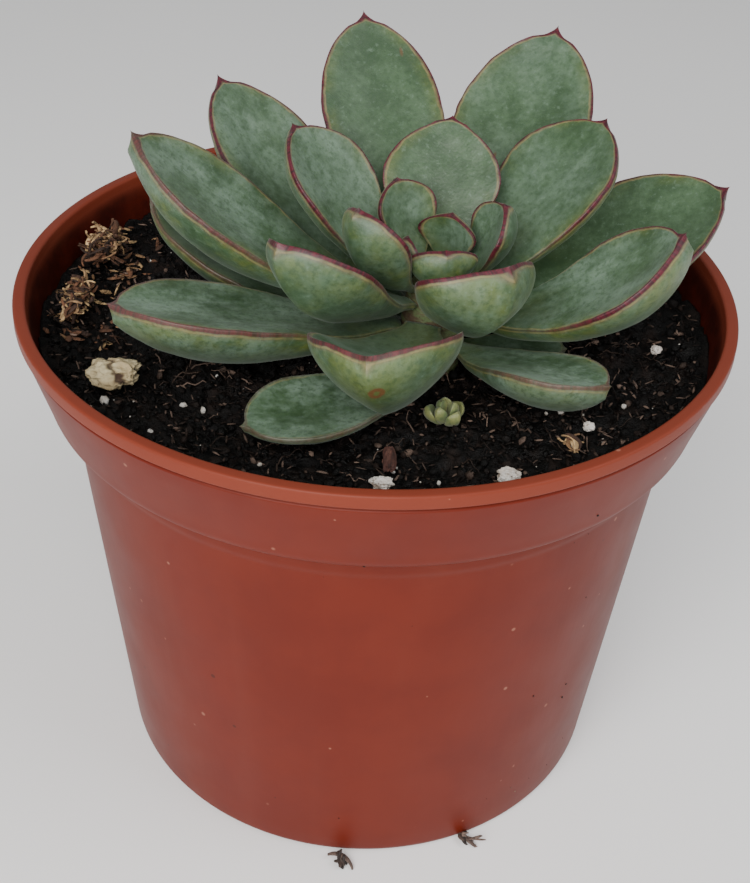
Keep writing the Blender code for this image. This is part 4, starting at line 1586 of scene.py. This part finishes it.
    def build(self) -> None:
        """Makes and dresses the bed and its layers."""
        peat = Peat().build()
        white = Mineral("white grit", (0.62, 0.60, 0.56), (0.42, 0.36, 0.29), (0.16, 0.12, 0.09), 500.0)
        place_piece("soil_bed", self.bed(), peat, ("soil",))
        place_piece("soil_crumbs", self.crumb_layer(), peat, flat=True)
        place_piece("soil_chaff", self.chaff_layer(), peat, flat=True)
        place_piece("soil_flakes", self.flake_layer(), peat, flat=True)
        place_piece("soil_fibres", self.fibre_layer(), peat)
        place_piece("soil_grit", self.grit_layer(), white.build())


def fitted(surface: Surface, node: str) -> Surface:
    """The surface scaled and moved along each axis so that it fills the box of a node."""
    low, high = (np.array(corner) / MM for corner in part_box(node))
    least, most = surface.points.min(axis=0), surface.points.max(axis=0)
    surface.points = low + (surface.points - least) * (high - low) / (most - least)
    return surface


@dataclass(frozen=True)
class Grain:
    """A loose grain: an uneven ball, with a crevice round it where two lobes meet."""

    node: str
    seed: int
    rough: float = 0.22
    crevice: float = 0.0
    rows: int = 40
    sides: int = 64

    def surface(self) -> Surface:
        """The grain, filling its node's box.

        A ball's radius is 1 plus rough noise and small sharp-edged knobs, less a narrow bell,
        exp(-(d/0.14)²), of the distance d from a wavy slanting plane through the middle.
        """
        rise = np.linspace(-0.5 * math.pi, 0.5 * math.pi, self.rows + 2)[1:-1]
        way = turned(np.stack([np.cos(rise), np.sin(rise)], axis=-1), self.sides)
        plane = way @ np.array([0.88, 0.42, 0.22]) - 0.08 + 0.22 * rough_noise(way, 0.5, self.seed + 3)
        fold = np.exp(-((plane / 0.14) ** 2))
        knobs = 0.45 * self.rough * (1.0 - 2.0 * np.abs(rough_noise(way, 0.42, self.seed + 5, 2)))
        swell = 1.0 + self.rough * rough_noise(way, 0.9, self.seed, 4) + knobs - self.crevice * fold
        rings = way * swell[..., None]
        pole = np.array([0.0, 0.0, 1.0])
        made = closed_tube(rings, -pole * swell[0].mean(), pole * swell[-1].mean())
        # hollow: darker colour where the grain is sunken and along its crevice
        sunk = smooth((0.96 - swell) / 0.16)
        dark = smooth(0.5 + rough_noise(way, 0.3, self.seed + 7))
        crease = smooth(1.5 * fold) * dark * min(1.0, 4.0 * self.crevice)
        hollow = np.concatenate([np.maximum(crease, 0.8 * sunk).ravel(), [0.0, 0.0]])
        made.values = {"hollow": hollow, "tone": 0.5 + 0.5 * rough_noise(made.points, 0.7, self.seed + 9)}
        return fitted(made, self.node)


@dataclass(frozen=True)
class Tuft:
    """A tangle of curled shreds: bark, or a broken-off root."""

    node: str
    seed: int
    shreds: int
    curl: tuple[float, float]
    radius: tuple[float, float]
    width: tuple[float, float]
    depth: float

    def surface(self) -> Surface:
        """The tangle, filling its node's box.

        Each shred is an arc of a circle about a random axis, drawn out into a spiral by a tenth
        of its radius, starting near the middle of the box.
        """
        low, high = (np.array(corner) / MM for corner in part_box(self.node))
        generator = np.random.default_rng(self.seed)
        half = 0.5 * (high - low)
        axes = turns(generator, self.shreds)
        parts = []
        for index in range(self.shreds):
            radius = generator.uniform(*self.radius)
            sweep = math.radians(generator.uniform(*self.curl))
            share = np.linspace(0.0, 1.0, 16)
            angle = sweep * (share - 0.5)
            open_out = radius * (1.0 + 0.25 * share)
            arc = [open_out * np.cos(angle), open_out * np.sin(angle), 0.5 * radius * share]
            arc = np.stack(arc, axis=-1)
            arc = (arc - arc.mean(axis=0)) @ axes[index].T
            direction = generator.normal(size=3)
            direction /= np.linalg.norm(direction)
            place = direction * generator.uniform() ** 0.4 * np.maximum(half - radius, 0.25 * half)
            widths = 0.5 * generator.uniform(*self.width) * np.sin(np.pi * (0.08 + 0.84 * share)) ** 0.5
            depths = np.minimum(0.5 * self.depth, widths)
            part = strand(arc + place, widths, depths, 8, generator.uniform(-70.0, 70.0))
            part.values = {"tone": np.full(len(part.points), generator.beta(1.0, 1.2))}
            parts.append(part)
        return fitted(Surface.join(parts), self.node)


@dataclass(frozen=True)
class LooseBits:
    """The stone, the perlite, the bark and the root scraps that lie about."""

    bed: SoilBed

    def build(self) -> None:
        """Makes and dresses every loose piece in its node's place."""
        stone = Mineral(
            "beige gravel",
            main=(0.50, 0.43, 0.26),
            stain=(0.36, 0.26, 0.13),
            pits=(0.045, 0.022, 0.011),
            grain=330.0,
        )
        white = Mineral(
            "expanded perlite",
            main=(0.72, 0.69, 0.64),
            stain=(0.50, 0.42, 0.34),
            pits=(0.22, 0.15, 0.10),
            grain=420.0,
        )
        shreds = DryFibre(
            "bark shreds",
            dark=(0.016, 0.007, 0.004),
            main=(0.150, 0.062, 0.028),
            pale=(0.580, 0.390, 0.190),
        )
        bark = DryFibre(
            "red bark",
            dark=(0.020, 0.006, 0.004),
            main=(0.070, 0.022, 0.014),
            pale=(0.150, 0.065, 0.045),
        )
        root = DryFibre(
            "dark root",
            dark=(0.020, 0.014, 0.012),
            main=(0.055, 0.036, 0.028),
            pale=(0.15, 0.10, 0.08),
        )
        gravel = Grain("gravel_stone", 51, 0.26, crevice=0.26, rows=90, sides=150).surface()
        place_piece("stone", gravel, stone.build(), ("gravel_stone",))
        perlite = white.build()
        for number in range(1, 5):
            grain = Grain(f"perlite_{number}", 60 + number, 0.34, rows=60, sides=90).surface()
            place_piece(f"perlite_grain_{number}", grain, perlite, (f"perlite_{number}",))
        bark_skin, shred_skin, root_skin = bark.build(), shreds.build(), root.build()
        chip = Grain("bark_chip", 71, 0.32, rows=60, sides=80).surface()
        place_piece("red_chip", chip, bark_skin, ("bark_chip",))
        tangles = (
            ("front_tuft", Tuft("bark_tuft_front", 81, 85, (60, 230), (0.9, 2.3), (0.35, 1.0), 0.28)),
            ("back_tuft", Tuft("bark_tuft_back", 82, 95, (60, 230), (0.9, 2.3), (0.35, 1.0), 0.28)),
            ("curl", Tuft("bark_curl", 83, 9, (60, 220), (0.6, 1.3), (0.5, 0.9), 0.25)),
        )
        place_piece("loose_shreds", self.bed.litter_layer(), shred_skin, flat=True)
        for name, tuft in tangles:
            place_piece(name, tuft.surface(), shred_skin, (tuft.node,))
        scraps = (("front_scrap", "root_scrap_front", 84), ("right_scrap", "root_scrap_right", 85))
        for name, node, seed in scraps:
            scrap = Tuft(node, seed, 6, (30, 120), (1.2, 2.6), (0.3, 0.7), 0.4)
            place_piece(name, scrap.surface(), root_skin, (node,))


# ---------------------------------------------------------------- the studio


@dataclass(frozen=True)
class Studio:
    """A pale floor, a bright even surround, one large soft light, and the camera."""

    floor_size: float = 6.0
    floor_below: float = 0.02
    surround: float = 0.40
    key_power: float = 8.0
    key_size: float = 0.55
    fill_power: float = 1.5
    camera_back: float = 0.1836
    camera_height: float = 0.1830
    camera_tilt: float = 54.36
    camera_heading: float = -0.25
    camera_roll: float = 2.78
    lens: float = 57.75

    def build(self) -> None:
        """Makes the floor, the lights and the camera."""
        self.floor()
        self.world()
        self.light("key", (-0.16, -0.55, 0.42), self.key_power, self.key_size, (1.0, 0.985, 0.96))
        self.light("fill", (0.40, -0.15, 0.50), self.fill_power, 0.4, (0.97, 0.985, 1.0))
        self.camera()

    def floor(self) -> None:
        """A wide pale plane just under the foot."""
        half = 500.0 * self.floor_size
        plan = np.array([(-half, -half), (half, -half), (half, half), (-half, half)])
        corners = np.column_stack([plan, np.full(4, -self.floor_below)])
        made = bpy.data.objects.new("floor", Surface(corners, [np.array([[0, 1, 2, 3]])]).mesh("floor"))
        paper = bpy.data.materials.new("white paper")
        paper.use_nodes = True
        shader = paper.node_tree.nodes["Principled BSDF"]
        shader.inputs["Base Color"].default_value = (0.90, 0.90, 0.90, 1.0)
        shader.inputs["Roughness"].default_value = 0.9
        made.data.materials.append(paper)
        bpy.context.scene.collection.objects.link(made)

    def world(self) -> None:
        """An even white surround."""
        world = bpy.data.worlds.new("surround")
        world.use_nodes = True
        background = world.node_tree.nodes["Background"]
        background.inputs["Color"].default_value = (1.0, 1.0, 1.0, 1.0)
        background.inputs["Strength"].default_value = self.surround
        bpy.context.scene.world = world

    def light(self, name: str, place: tuple, power: float, size: float, tint: tuple) -> None:
        """A square area light that points at the pot's rim.

        Args:
            name: its name.
            place: where it stands, in metres.
            power: its power in watts.
            size: its side in metres.
            tint: its colour.
        """
        lamp = bpy.data.lights.new(name, "AREA")
        lamp.energy, lamp.size, lamp.color = power, size, tint
        made = bpy.data.objects.new(name, lamp)
        made.location = place
        aim = Vector((0.0, 0.0, 0.06)) - Vector(place)
        made.rotation_euler = aim.to_track_quat("-Z", "Y").to_euler()
        bpy.context.scene.collection.objects.link(made)

    def camera(self) -> None:
        """A near camera that looks down on the plant from the front."""
        lens = bpy.data.cameras.new("camera")
        lens.lens, lens.sensor_width, lens.clip_start = self.lens, 36.0, 0.01
        made = bpy.data.objects.new("camera", lens)
        heading = Matrix.Rotation(math.radians(self.camera_heading), 4, "Z")
        tilt = Matrix.Rotation(math.radians(self.camera_tilt), 4, "X")
        roll = Matrix.Rotation(math.radians(self.camera_roll), 4, "Z")
        place = Matrix.Translation((0.0, -self.camera_back, self.camera_height))
        made.matrix_world = place @ heading @ tilt @ roll
        bpy.context.scene.collection.objects.link(made)
        bpy.context.scene.camera = made


def main() -> None:
    """Builds the plant, the pot, the soil, the loose bits and the studio."""
    logging.basicConfig(level=logging.INFO, format="%(name)s: %(message)s")
    pot = NurseryPot()
    bed = SoilBed(pot)
    for maker in (Rosette(), OffsetBud(), pot, bed, LooseBits(bed), Studio()):
        log.info("building %s", type(maker).__name__)
        maker.build()
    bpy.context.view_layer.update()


if __name__ == "__main__":
    main()
